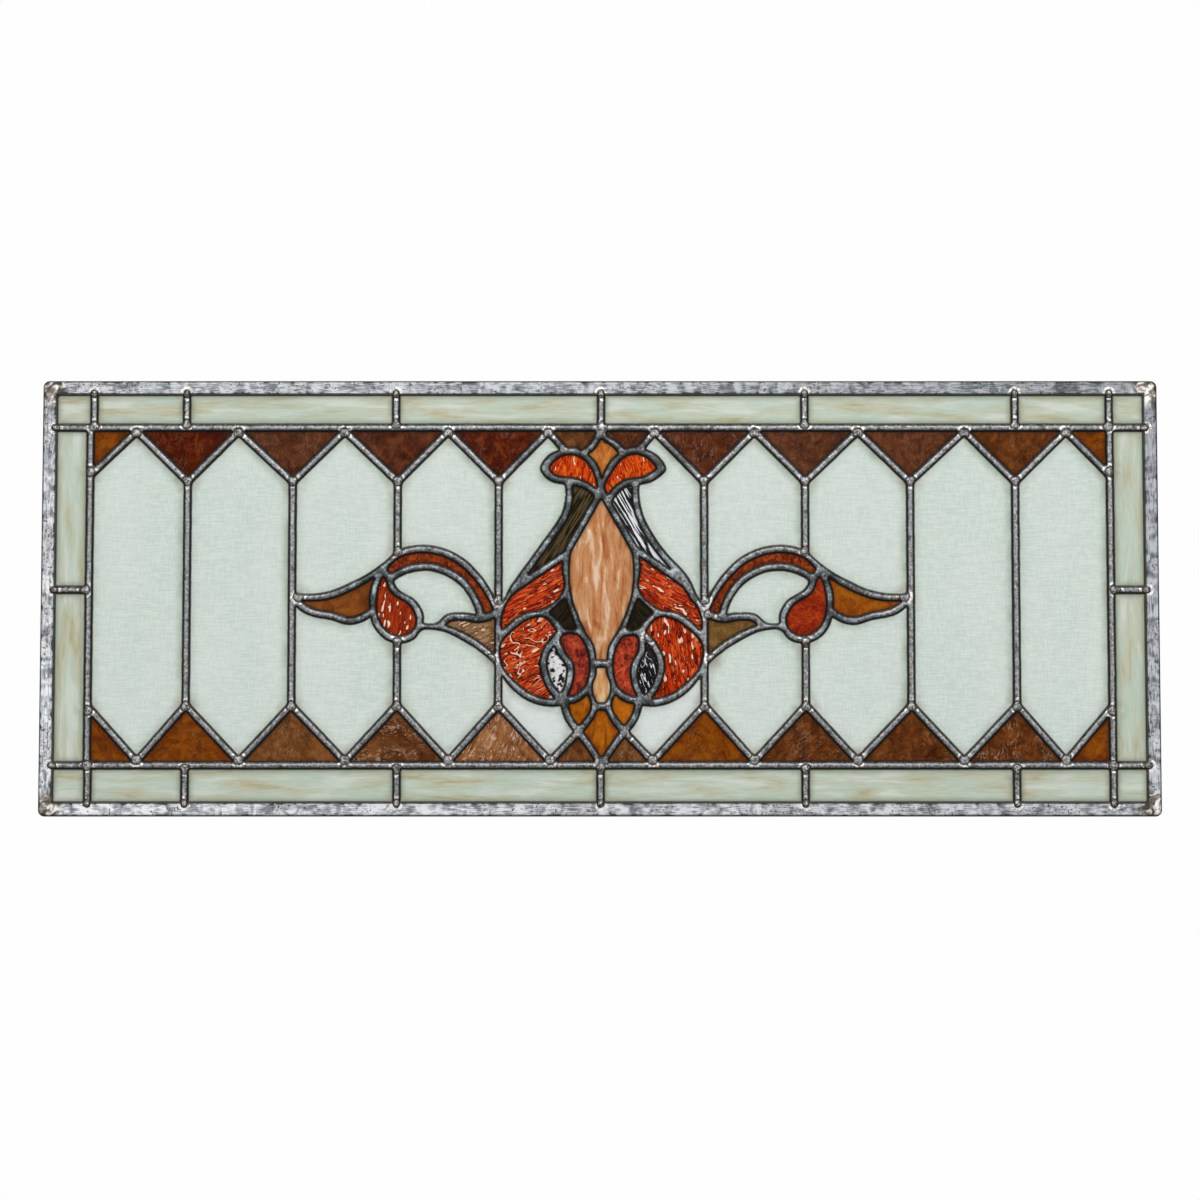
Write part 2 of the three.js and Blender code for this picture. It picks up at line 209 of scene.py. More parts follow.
class Finish(Nodes):
    """A material being mixed. Plain values go straight on to the shader's own sockets."""

    def __init__(self, name, **plain):
        self.material = bpy.data.materials.new(name)
        self.material.use_nodes = True
        super().__init__(self.material.node_tree)
        self.shader = self.tree.nodes["Principled BSDF"]
        self.set(**plain)
        place = self.node("ShaderNodeTexCoord", out="Object")
        self.place = self.node("ShaderNodeVectorMath", {"operation": "SCALE"}, {0: place, "Scale": 1 / MM})

    def set(self, **values):
        for name, value in values.items():
            self.join(value, self.shader.inputs[name.replace("_", " ").title().replace("Ior", "IOR")])

    def measure(self, name):
        """A value kept on the mesh itself, such as how far each point is from the lead."""
        return self.node("ShaderNodeAttribute", {"attribute_name": name}, out="Fac")

    def cloud(self, size, stretch=(1, 1, 1), turn=0, detail=3, seed=0, twist=0):
        """Noise from about 0.2 to 0.8: lumps of a size in millimetres, drawn out by the stretch."""
        turned = self.node("ShaderNodeMapping", {"vector_type": "TEXTURE"}, {
            "Vector": self.place, "Location": (seed * 31.7, seed * 17.3, seed * 11.9),
            "Rotation": (0, math.radians(turn), 0), "Scale": tuple(size * s for s in stretch)})
        return self.node("ShaderNodeTexNoise", (), {
            "Vector": turned, "Scale": 1, "Detail": detail, "Distortion": twist})

    def blend(self, share, low, high, how="MIX"):
        """The low colour where the share is 0, and the high colour where it is 1."""
        return self.node("ShaderNodeMix", {"data_type": "RGBA", "blend_type": how},
                         {0: share, 6: low, 7: high}, out=2)

    def bump(self, height, depth):
        """Fine relief: the height wire, from 0 to 1, stands for a depth in millimetres."""
        return self.node("ShaderNodeBump", (), {"Height": height, "Distance": depth * MM})


def seen_directly(nodes):
    """1 for what the camera sees, straight or through glass, and 0 for light and reflections."""
    straight = nodes.node("ShaderNodeLightPath", out="Is Camera Ray")
    return straight.peak(nodes.node("ShaderNodeLightPath", out="Is Transmission Ray"))


def white_room():
    """White paper behind the panel; what lights it and is mirrored in it is a dimmer room."""
    world = bpy.data.worlds.new("white room")
    world.use_nodes = True
    world.node_tree.nodes.clear()
    nodes = Nodes(world.node_tree)
    way = nodes.node("ShaderNodeTexCoord", out="Generated")
    rise = nodes.node("ShaderNodeSeparateXYZ", (), {0: way}, out="Z").between(-1, 1)
    room = nodes.node("ShaderNodeBackground", (), {"Color": nodes.colours(rise, *ROOM)})
    paper = nodes.node("ShaderNodeBackground", (), {"Color": PAPER_WHITE})
    output = world.node_tree.nodes.new("ShaderNodeOutputWorld")
    nodes.join(nodes.either(seen_directly(nodes), room, paper), output.inputs["Surface"])
    scene.world = world


def pale_floor():
    """A wide floor, well below the panel: white to look at, and grey to what it lights."""
    z = panel_low - FLOOR_DROP
    corners = [(-FLOOR_HALF, -FLOOR_HALF, z), (FLOOR_HALF, -FLOOR_HALF, z),
               (FLOOR_HALF, FLOOR_HALF, z), (-FLOOR_HALF, FLOOR_HALF, z)]
    mesh = bpy.data.meshes.new("floor")
    mesh.from_pydata(corners, [], [(0, 1, 2, 3)])
    floor = bpy.data.objects.new("floor", mesh)
    scene.collection.objects.link(floor)
    paint = Finish("white paper", base_color=FLOOR_GREY, roughness=0.9)
    matt = Wire(paint, paint.shader.outputs[0])
    lit = paint.node("ShaderNodeEmission", (), {"Color": PAPER_WHITE})
    both = paint.either(seen_directly(paint), matt, lit)
    paint.join(both, paint.tree.nodes["Material Output"].inputs["Surface"])
    mesh.materials.append(paint.material)


white_room()
pale_floor()


# ---------------------------------------------------------------- the cutting lines
# The panel is laid out as a full-size drawing first. Every opening that shows glass is
# one closed line of it, and the lead covers the strips between the openings.

CORNER_TURN = math.radians(35)  # a gentler turn is a facet of a round line
SHARP_TURN = math.radians(55)
LONG_FACET = 30  # millimetres; a side this long meets its neighbours at a corner
STRAIGHT_SIDE = 42  # and one this long is a straight side
STRAIGHT_BY_JOINT = 25.5  # beside a joint, one this long is a straight length of came
ARC_HANDLE = 0.345  # a curve handle's share of the chord, for arcs of up to 40 degrees
CAME_HALF = 3.5  # half the width of the lead
HEART_HALF = 1.1  # half the gap between two panes
ZINC_FACE = 13.5
TOUCH = 0.1  # nearer to a line than this counts as on it


def front_loops(name):
    """The closed outlines of a CAD node's front face, anticlockwise, and its holes, clockwise."""
    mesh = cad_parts[name].data
    corners = np.array([v.co for v in mesh.vertices]) / MM
    flat = corners[:, 1] < corners[:, 1].min() + 0.01
    spots = [(round(float(x), 3), round(float(z), 3)) for x, _, z in corners]
    following = {}
    for face in mesh.polygons:
        if all(flat[v] for v in face.vertices):
            ring = [spots[v] for v in face.vertices]
            for start, end in zip(ring, ring[1:] + ring[:1]):
                if (end, start) in following:
                    del following[(end, start)]
                elif start != end:
                    following[(start, end)] = True
    onward = dict(following.keys())
    loops = []
    while onward:
        start, point = onward.popitem()
        loop = [start]
        while point != start:
            loop.append(point)
            point = onward.pop(point)
        loops.append(np.array(loop))
    return loops


def loop_area(loop):
    x, z = loop.T
    return float(np.dot(x, np.roll(z, -1)) - np.dot(z, np.roll(x, -1))) / 2


def holds(loop, points):
    """Which of the points lie inside a closed line."""
    inside = np.zeros(len(points), bool)
    for (x0, z0), (x1, z1) in zip(loop, np.roll(loop, -1, 0)):
        if z0 != z1:
            between = (points[:, 1] < z0) != (points[:, 1] < z1)
            reach = x0 + (points[:, 1] - z0) * (x1 - x0) / (z1 - z0)
            inside ^= between & (points[:, 0] < reach)
    return inside


def corners_of(loop):
    """For each point of a faceted outline: is it a real corner, how long is the next side, and its way."""
    side = np.roll(loop, -1, 0) - loop
    length = np.hypot(side[:, 0], side[:, 1])
    way = side / length[:, None]
    before = np.roll(way, 1, 0)
    turn = np.abs(np.arctan2(before[:, 0] * way[:, 1] - before[:, 1] * way[:, 0], (before * way).sum(1)))
    longest = np.maximum(length, np.roll(length, 1))
    corner = (turn > CORNER_TURN) & ((turn > SHARP_TURN) | (longest > LONG_FACET))
    return corner, length, way


def drawn_round(loop, step):
    """A faceted outline with its round stretches made round again, as points about a step apart.

    Each side becomes a curve between its two ends. At a facet's end the curve leaves half-way
    between the two sides, and at a real corner it mirrors its other end, as an arc does.
    """
    corner, length, way = corners_of(loop)
    before, length_before = np.roll(way, 1, 0), np.roll(length, 1)
    leaving = way * length_before[:, None] + before * length[:, None]
    straight = length > STRAIGHT_SIDE
    leaving = np.where(straight[:, None], way, leaving)
    leaving = np.where(np.roll(straight, 1)[:, None], before, leaving)
    leaving /= np.hypot(leaving[:, 0], leaving[:, 1])[:, None]
    points = []
    for i, chord in enumerate(way):
        j = (i + 1) % len(way)
        start, end = leaving[i], leaving[j]
        if straight[i] or (corner[i] and corner[j]):
            start = end = chord
        elif corner[i]:
            start = 2 * chord.dot(end) * chord - end
        elif corner[j]:
            end = 2 * chord.dot(start) * chord - start
        handle = ARC_HANDLE * length[i]
        a, d = loop[i], loop[j]
        b, c = a + handle * start, d - handle * end
        count = max(1, round(length[i] / step))
        for k in range(count):
            t = k / count
            points.append((1 - t) ** 3 * a + 3 * t * (1 - t) ** 2 * b + 3 * t * t * (1 - t) * c + t ** 3 * d)
    return np.array(points)


def softened(loop, times):
    for _ in range(times):
        loop = (np.roll(loop, 1, 0) + 2 * loop + np.roll(loop, -1, 0)) / 4
    return loop


def outward(loop):
    """Unit vectors to the right of a closed line: out of an anticlockwise one."""
    along = np.roll(loop, -1, 0) - np.roll(loop, 1, 0)
    along /= np.hypot(along[:, 0], along[:, 1])[:, None]
    return np.stack([along[:, 1], -along[:, 0]], 1)


def wander(x, z, size, seed):
    """Smooth noise from -1 to 1 with lumps of about a size, in millimetres."""
    return noise.noise((x / size, z / size, seed))


def hand_made(loop, seed, amount=0.2):
    """A cut line that wavers a little, as lead pressed down by hand does."""
    shift = [amount * (wander(x, z, 9, seed) + 0.5 * wander(x, z, 3.5, seed + 7)) for x, z in loop]
    return loop + outward(loop) * np.array(shift)[:, None]


LEAD_STEP = 1.4
SOLDER_LAP = 6.0  # how far the stubs of lead run out over the zinc
STUB_FACETS = 8  # sides of a stub's round end

lead_loops = sorted(front_loops("lead_lattice"), key=lambda loop: -abs(loop_area(loop)))
lead_outline, sight_lines = lead_loops[0], lead_loops[1:]
lead_reach = np.abs(lead_outline[:, 0]).max()
lead_bottom, lead_top = lead_outline[:, 1].min(), lead_outline[:, 1].max()
lead_middle = (lead_bottom + lead_top) / 2
stub_centres = []


def with_round_stubs(outline):
    """The outer line of the lead, its stubs drawn out over the zinc to round ends."""
    line = []
    for start, end in zip(outline, np.roll(outline, -1, 0)):
        line.append(start)
        for axis, rim in ((0, lead_reach), (0, -lead_reach), (1, lead_top), (1, lead_bottom)):
            if abs(start[axis] - rim) < TOUCH and abs(end[axis] - rim) < TOUCH:
                line.pop()
                middle, half = (start + end) / 2, (start - end) / 2
                out = np.array([half[1], -half[0]])
                out *= -1 if out[axis] * (rim - lead_middle * axis) < 0 else 1
                centre = middle + out / np.hypot(*out) * (SOLDER_LAP - np.hypot(*half))
                stub_centres.append(centre)
                line.append(centre + half - out / 4)
                for k in range(STUB_FACETS + 1):
                    angle = math.pi * k / STUB_FACETS
                    line.append(centre + half * math.cos(angle) + out * math.sin(angle))
                line.append(centre - half - out / 4)
    return np.array([p for p, q in zip(line, np.roll(line, 1, 0)) if np.hypot(*(p - q)) > 2 * TOUCH])


lead_lines = []
for number, line in enumerate([with_round_stubs(lead_outline)] + sight_lines):
    lead_lines.append(hand_made(softened(drawn_round(line, LEAD_STEP), 2), number * 1.7))


def rectangle(left, right, low, high):
    return np.array([(left, low), (right, low), (right, high), (left, high)])


def place_of(node):
    """A CAD node's left, right, bottom and top, in millimetres."""
    low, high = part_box(node)
    return low.x / MM, high.x / MM, low.z / MM, high.z / MM


zinc_left, zinc_right, zinc_low, zinc_high = place_of("zinc_edge")
zinc_opening = rectangle(zinc_left + ZINC_FACE, zinc_right - ZINC_FACE,
                         zinc_low + ZINC_FACE, zinc_high - ZINC_FACE)


def finder(spots):
    """A tree that finds the spots nearest to a point."""
    tree = kdtree.KDTree(len(spots))
    for index, (x, z) in enumerate(spots):
        tree.insert((x, z, 0), index)
    tree.balance()
    return tree


def nearness(lines, spacing=0.5):
    """A tree that finds how far a point is from the nearest of some closed lines."""
    dense = []
    for line in lines:
        onward = np.roll(line, -1, 0) - line
        for start, side in zip(line, onward):
            count = max(1, math.ceil(math.hypot(*side) / spacing))
            dense.extend(start + side * (k / count) for k in range(count))
    return finder(dense)


lead_edge = nearness(lead_lines)
sight_edge = nearness(lead_lines + [zinc_opening])

MOTIF_HALF, MOTIF_LOW, MOTIF_HIGH = 80, 110, 347  # solder is light in this part of the panel
JOINT_REACH = 8.5  # corners this close to each other belong to one joint
LIGHT_SOLDER = 0.35  # the share of solder where curved lengths meet
TEE_SPAN = 14  # reach from corner to corner where a slanting length meets an upright one


def joints_of_lead():
    """Where lengths of came meet, and how heavy the solder is there: less between curved lengths.

    They are the corners of the openings, gathered where two or more are close, the tees
    half-way between two lone corners, and the soldered ends of the stubs.
    """
    pools = []
    for line in [lead_outline] + sight_lines:
        corner, length, _ = corners_of(line)
        straight = np.maximum(length, np.roll(length, 1)) > STRAIGHT_BY_JOINT
        for (x, z), beside_straight in zip(line[corner], straight[corner]):
            if not (abs(x) < lead_reach - 1 and lead_bottom + 1 < z < lead_top - 1):
                continue
            for pool in pools:
                if math.hypot(x - pool[0][0], z - pool[0][1]) < JOINT_REACH:
                    pool[1].append((x, z))
                    pool[0] = np.mean(pool[1], 0)
                    pool[2] += beside_straight
                    break
            else:
                pools.append([(x, z), [(x, z)], int(beside_straight)])
    met = []
    for (x, z), spots, straight in pools:
        if len(spots) > 1:
            flush = straight < 2 or (abs(x) < MOTIF_HALF and MOTIF_LOW < z < MOTIF_HIGH)
            met.append(((x, z), LIGHT_SOLDER if flush else 1.0))
    alone = sorted(spots[0] for _, spots, _ in pools if len(spots) == 1)
    for (x, z), (other_x, other_z) in itertools.combinations(alone, 2):
        if abs(x - other_x) < 0.5 and abs(z - other_z) < TEE_SPAN:
            met.append(((x + math.copysign(CAME_HALF, x), (z + other_z) / 2), 1.0))
    return met + [(centre, 1.0) for centre in stub_centres]


joint_places, joint_weights = zip(*joints_of_lead())
joint_finder = finder(joint_places)


# ---------------------------------------------------------------- glass, cut and fitted
# Each pane is 3 mm glass with the relief it was rolled or blown with on its front, and a
# faint one behind. Its edge is bedded in dark putty inside the channel of the came.

GLASS_HALF = 1.5
EDGE_FLAT = 2.0  # the relief dies out towards the lead, where the leaves are pressed down
UNDER_LEAD = CAME_HALF - HEART_HALF  # how far a pane runs in under the leaves
SHADE_REACH = 8.0  # the painted shadow of the lead on the glass stops this far from it
SHADE_SLANT = (0.85, 0.5)  # it lies most to the left of the lead, and below it
SIGHT_ROWS = (-0.3, 0.5, 1.3, 2.8, 5.5)  # rows of points along the edge of the lead, where the putty line, dirt and painted shadow lie
CLEAR_OF_LEAD = 0.85  # share of a row's distance at which it counts as clear of other lead
LIGHT_JOINT_OFF = 30  # a joint without heavy solder stains the glass as one this much further off
GRID_WAVER = 0.2  # how far grid points stray, as a share of a step
GRID_OFF_RIM = 0.55  # how far they stay from the pane's outline, as a share of a step
ROW_OFF_RIM = 0.5  # and how far the points in rows stay from it, in millimetres
NET_GAP = 0.42  # points closer than this share of a step are dropped,
WIDEST_STEP = 1.6  # or of this many millimetres where the step is wider
BACK_SEED = 40  # so that the back of a pane doesn't repeat its front


def thinned(points, gap):
    """Drops the points that lie closer than a gap to one already kept."""
    kept, cells = [], {}
    for x, z in points:
        column, row = int(x // gap), int(z // gap)
        near = [p for i in (-1, 0, 1) for j in (-1, 0, 1) for p in cells.get((column + i, row + j), ())]
        if all((x - a) ** 2 + (z - b) ** 2 > gap * gap for a, b in near):
            kept.append((x, z))
            cells.setdefault((column, row), []).append((x, z))
    return kept


def flat_net(lines, inner):
    """Triangles over the part inside the first line and outside the others, with inner points."""
    points, rings = [], []
    for line in lines:
        ring = list(range(len(points), len(points) + len(line)))
        rings.append(ring if loop_area(line) > 0 else ring[::-1])
        points.extend(Vector(p) for p in line)
    points.extend(Vector(p) for p in inner)
    made = delaunay_2d_cdt(points, [], rings, 0, 1e-4)
    spots, triangles, owners = np.array([tuple(v) for v in made[0]]), made[2], made[5]
    return spots, [tuple(t) for t, owner in zip(triangles, owners) if list(owner) == [0]]


def new_piece(name, points, faces, finishes, measures, face_slots=None):
    """A smooth mesh object from points in millimetres, with its finishes and its measures."""
    mesh = bpy.data.meshes.new(name)
    mesh.from_pydata([tuple(p) for p in np.asarray(points) * MM], [], faces)
    for finish in finishes:
        mesh.materials.append(finish)
    if face_slots is not None:
        mesh.polygons.foreach_set("material_index", face_slots)
    mesh.polygons.foreach_set("use_smooth", [True] * len(mesh.polygons))
    for label, values in measures.items():
        measure = mesh.attributes.new(label, "FLOAT", "POINT")
        measure.data.foreach_set("value", np.array(values, np.float32))
    mesh.update()
    piece = bpy.data.objects.new(name, mesh)
    scene.collection.objects.link(piece)
    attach(piece, "root")
    return piece


def putty_finish():
    finish = Finish("putty", roughness=0.9)
    lumps = finish.cloud(3)
    finish.set(base_color=finish.colours(lumps, (0.3, (0.02, 0.018, 0.014)), (0.7, (0.06, 0.055, 0.045))))
    return finish.material


putty = putty_finish()


def rows_beside_the_lead():
    """Points in rows along every edge of the lead, on the side of the glass, and their numbers."""
    rows = []
    for line in lead_lines + [drawn_round(zinc_opening, LEAD_STEP)[::-1]]:
        number = np.arange(len(line))
        for row in SIGHT_ROWS:
            beside = line + outward(line) * row
            clear = [sight_edge.find((x, z, 0))[2] > CLEAR_OF_LEAD * abs(row) for x, z in beside]
            rows.append(np.column_stack([beside, number])[clear])
    return np.concatenate(rows)


beside_lead = rows_beside_the_lead()


def inner_points(name, line, step, rim):
    """Points to net a pane with: rows along the lead, and between them a wavering grid."""
    low, high = line.min(0), line.max(0)
    rng = random.Random(name)
    row_gap = step * math.sqrt(3) / 2
    rows = range(int((high[1] - low[1]) / row_gap) + 1)
    grid = [(low[0] + step * (i + 0.5 * (j % 2)) + rng.uniform(-GRID_WAVER, GRID_WAVER) * step,
             low[1] + row_gap * (j + 0.5) + rng.uniform(-GRID_WAVER, GRID_WAVER) * step)
            for j in rows for i in range(int((high[0] - low[0]) / step) + 1)]
    near = ((beside_lead[:, :2] > low) & (beside_lead[:, :2] < high)).all(1)
    near &= beside_lead[:, 2] % max(1, round(step / LEAD_STEP)) == 0
    inner, places = [], np.concatenate([beside_lead[near, :2], np.array(grid)])
    for x, z in places[holds(line, places)]:
        gap = GRID_OFF_RIM * step if len(inner) >= near.sum() else ROW_OFF_RIM
        if rim.find((x, z, 0))[2] > gap:
            inner.append((x, z))
    return thinned(inner, NET_GAP * min(step, WIDEST_STEP))


def glass_piece(name, line, step, relief, finish, node=None):
    """One pane: front and back skins over its outline, joined round the edge."""
    rim = nearness([line], step / 2)
    spots, triangles = flat_net([line], inner_points(name, line, step, rim))
    measures = {"edge": [], "shade": [], "crest": [], "joint": []}
    front, back = [], []
    for x, z in spots:
        nearest, _, distance = sight_edge.find((x, z, 0))
        # painted shadow of the lead: strongest close to it, and where the lead stands to the right of the
        # point and above it
        facing = SHADE_SLANT[0] * (nearest.x - x) + SHADE_SLANT[1] * (nearest.y - z)
        facing = max(0.0, facing / max(distance, 0.1))
        measures["shade"].append(max(0.0, 1 - distance / SHADE_REACH) * (0.35 + 0.65 * facing))
        (left, bottom), (right, top) = zinc_opening[0], zinc_opening[2]
        under = rim.find((x, z, 0))[2] < UNDER_LEAD - 0.15
        if under or not (left < x < right and bottom < z < top):
            distance = 0.0
        height, height_behind = relief(x, z)
        calm = min(1.0, distance / EDGE_FLAT)
        measures["edge"].append(distance)
        measures["crest"].append(height)
        _, which, away = joint_finder.find((x, z, 0))
        measures["joint"].append(away + LIGHT_JOINT_OFF * (1 - joint_weights[which]))
        front.append((x, -GLASS_HALF - calm * (height - 0.5) * relief.depth, z))
        back.append((x, GLASS_HALF + calm * (height_behind - 0.5) * relief.depth * 0.5, z))
    count, ring = len(spots), len(line)
    faces = triangles + [(c + count, b + count, a + count) for a, b, c in triangles]
    faces += [(i, i + count, (i + 1) % ring + count, (i + 1) % ring) for i in range(ring)]
    piece = new_piece(name, front + back, faces, [finish, putty],
                      {label: values * 2 for label, values in measures.items()},
                      [0] * (2 * len(triangles)) + [1] * ring)
    if node:
        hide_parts(node)


def node_pane(node, step, relief, finish):
    """The pane that a CAD node stands for."""
    glass_piece(f"{node}_glass", drawn_round(front_loops(node)[0], step), step, relief, finish, node)


def rim_line(finish, tint, width=1.2, colour=(0.03, 0.03, 0.02)):
    """Putty and dirt, in a dark line where the glass meets the lead."""
    return finish.blend(finish.measure("edge").fading(0.3, width) * 0.9, tint, colour)


def lead_dirt_and_shade(finish, tint, reach, share, colour):
    """Dirt and painted shade, darkest at the lead and fading out over a reach from it."""
    return finish.blend(finish.measure("edge").fading(0, reach) ** 2 * share, tint, colour)


class Rolled:
    """Nearly flat glass, with the faint waviness of the rolling table.

    Its height is from 0 to 1 at a point, and its depth and the size of a wave in millimetres.
    """

    def __init__(self, depth, wave, seed, long=3.0):
        self.depth, self.wave, self.seed, self.long = depth, wave, seed, long

    def height(self, x, z, seed):
        return 0.5 + 0.5 * noise.noise((x / self.wave, z / (self.long * self.wave), seed))

    def __call__(self, x, z):
        return self.height(x, z, self.seed), self.height(x, z, self.seed + BACK_SEED)


# ---------------------------------------------------------------- pale background panes
# Eighteen panes of pale green-grey cathedral glass make the ground: tall panes with two
# points at the sides, and panes cut to the motif in the middle. They let light through.


def pale_finish(name, low, high):
    finish = Finish(name, transmission_weight=0.55, ior=1.5)
    weave = finish.cloud(3.2, (3, 1, 0.4)) * 0.55 + finish.cloud(3.2, (0.4, 1, 2.4), seed=3) * 0.45
    wash = finish.cloud(55, (1, 1, 2.2), detail=2, seed=1)
    tint = finish.colours(wash, (0.3, low), (0.7, high))
    tint = finish.blend(weave.between(0.4, 0.6) * 0.55, tint, (0.86, 0.91, 0.86))
    scratch = finish.cloud(5, (0.05, 1, 1.6), turn=20, detail=2, seed=12).between(0.68, 0.72)
    tint = finish.blend(scratch * 0.35, tint, (0.4, 0.45, 0.4))
    cloud = finish.cloud(17, detail=4, seed=5)
    # painted shadow of the lead, broken up by a cloud, on the pale glass beside it
    lead_shadow = (finish.measure("shade") * (0.45 + cloud.between(0.3, 0.68))).between(0, 1)
    tint = finish.blend(lead_shadow * 0.6, tint, (0.25, 0.31, 0.22))
    brown = finish.measure("joint").fading(3, 15) * (0.35 + finish.cloud(9, seed=8).between(0.42, 0.6))
    tint = finish.blend(brown * 0.55, tint, (0.36, 0.29, 0.22))
    finish.set(base_color=rim_line(finish, tint), roughness=0.08 + 0.1 * weave)
    finish.set(normal=finish.bump(weave, 0.02))
    return finish.material


green_pale = pale_finish("pale glass", (0.63, 0.72, 0.65), (0.69, 0.75, 0.69))
white_pale = pale_finish("pale glass, whiter", (0.72, 0.76, 0.74), (0.76, 0.79, 0.77))
WHITER = ("pale_5_lower", "pale_6_lower")
PALE_STEP = 3.2
for number, name in enumerate(sorted(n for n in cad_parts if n.startswith("pale_"))):
    node_pane(name, PALE_STEP, Rolled(depth=0.25, wave=24, seed=number * 3.1, long=2),
              white_pale if name in WHITER else green_pale)


# ---------------------------------------------------------------- border
# The border is wispy opalescent glass, cream and pale green with tan streaks that run
# along each strip: six strips above and below, two at each side, and four corner squares.


def wispy_finish(name, lean, seed):
    finish = Finish(name, transmission_weight=0.2, ior=1.5, roughness=0.16)
    streak = finish.cloud(9, (7, 1, 1), turn=lean, seed=seed, twist=0.5)
    broad = finish.cloud(17, (4, 1, 1), turn=lean, seed=seed + 2)
    band = finish.cloud(1.4, (9, 1, 1), turn=lean, detail=2, seed=seed + 4)
    tint = finish.colours(streak, (0.33, (0.46, 0.42, 0.25)), (0.43, (0.54, 0.54, 0.39)),
                          (0.52, (0.53, 0.59, 0.47)), (0.62, (0.66, 0.69, 0.6)))
    tint = finish.blend(broad.between(0.45, 0.65) * 0.7, tint, (0.50, 0.61, 0.51))
    tint = finish.blend(band.between(0.4, 0.6) * 0.15, tint, (0.85, 0.88, 0.82))
    # dirt and painted shade along the lead and the zinc
    tint = lead_dirt_and_shade(finish, tint, 7.5, 0.75, (0.15, 0.19, 0.12))
    brown = finish.measure("joint").fading(3, 16) * finish.cloud(7, seed=8).between(0.4, 0.6)
    tint = finish.blend(brown * 0.6, tint, (0.36, 0.27, 0.17))
    finish.set(base_color=rim_line(finish, tint), normal=finish.bump(finish.cloud(3, detail=2), 0.03))
    return finish.material


wispy_along = wispy_finish("wispy glass, lengthwise", 0, 1)
wispy_up = wispy_finish("wispy glass, upright", 90, 4)
BORDER_STEP = 3.5
BORDER_DEPTH, BORDER_WAVE = 0.25, 20
ZINC_LAP = 2.5  # how far the end pieces stop short of the outer edge, inside the zinc
SIDE_STUB = (100, 300)  # the stub in the middle of each side lies between these heights

for number, name in enumerate(sorted(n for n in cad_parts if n.startswith("border_"))):
    node_pane(name, BORDER_STEP, Rolled(BORDER_DEPTH, BORDER_WAVE, seed=number * 2.3, long=0.5),
              wispy_along)


def end_pieces():
    """The corner squares and side strips, fitted between the zinc and the end cames."""
    heart = 2 * HEART_HALF
    side_stub = np.mean([z for x, z in lead_outline
                         if abs(x) > lead_reach - TOUCH and SIDE_STUB[0] < z < SIDE_STUB[1]])
    for side, hand, column in ((-1, "left", "1"), (1, "right", "6")):
        far = (zinc_right - ZINC_LAP) * side
        top, bottom = place_of(f"border_top_{column}"), place_of(f"border_bottom_{column}")
        pane = place_of("pale_1" if side < 0 else "pale_10")
        inner = 0 if side < 0 else 1
        rows = {
            "corner_top": (top[inner] + side * heart, top[2], top[3], wispy_along),
            "strip_upper": (pane[inner] + side * heart, side_stub + HEART_HALF, top[2] - heart, wispy_up),
            "strip_lower": (pane[inner] + side * heart, bottom[3] + heart, side_stub - HEART_HALF, wispy_up),
            "corner_bottom": (bottom[inner] + side * heart, bottom[2], bottom[3], wispy_along),
        }
        for label, (near, low, high, finish) in rows.items():
            line = drawn_round(rectangle(*sorted((near, far)), low, high), BORDER_STEP)
            glass_piece(f"{label}_{hand}_glass", line, BORDER_STEP,
                        Rolled(BORDER_DEPTH, BORDER_WAVE, seed=low + side), finish)


end_pieces()


# ---------------------------------------------------------------- points
# Triangles of brown and amber glass fill the zigzag between the ground and the border,
# twelve above and twelve below. No two were cut from the same part of the sheet.

DEEP = {"transmission_weight": 0.15, "ior": 1.5, "roughness": 0.16, "specular_ior_level": 0.06}
WISP = (0.7, 0.5, 0.36)


def evenly(colours):
    return [(i / (len(colours) - 1), colour) for i, colour in enumerate(colours)]


def streaky_finish(name, colours, seed, lean=0, wisps=0, size=12, stretch=(1, 1, 1), fibres=0.45):
    """Streaky coloured glass: a run of colours, dark to light, with fibres and a share of pale wisps."""
    finish = Finish(name, **DEEP)
    body = finish.cloud(size, stretch, turn=lean, detail=5, seed=seed, twist=1)
    fibre = finish.cloud(2.4, (1, 1, 5), turn=lean, seed=seed + 3, twist=0.5)
    value = body.between(0.33, 0.67) * 0.85 + fibre.between(0.33, 0.67) * 0.15
    tint = finish.colours(value, *evenly(colours))
    swirl = finish.cloud(7, (1, 1, 2), turn=lean, seed=seed + 5, twist=2)
    tint = finish.blend(swirl.near(0.46, 0.03) * fibres, tint, colours[0])
    tint = finish.blend(swirl.near(0.53, 0.012) * fibres, tint, tuple(1.5 * c for c in colours[-1]))
    if wisps:
        wisp = finish.cloud(5, (1, 1, 2.2), turn=lean, detail=4, seed=seed + 8, twist=1.6)
        patch = finish.cloud(16, detail=1, seed=seed + 9)
        share = wisp.near(0.55, 0.015 + 0.025 * wisps) * patch.between(0.4, 0.6) * wisps
        tint = finish.blend(share, tint, WISP)
    # dirt and painted shade along the lead
    tint = lead_dirt_and_shade(finish, tint, 5, 0.6, (0.02, 0.012, 0.008))
    tint = rim_line(finish, tint, 1, (0.01, 0.008, 0.006))
    finish.set(base_color=tint, normal=finish.bump(swirl, 0.1))
    return finish.material


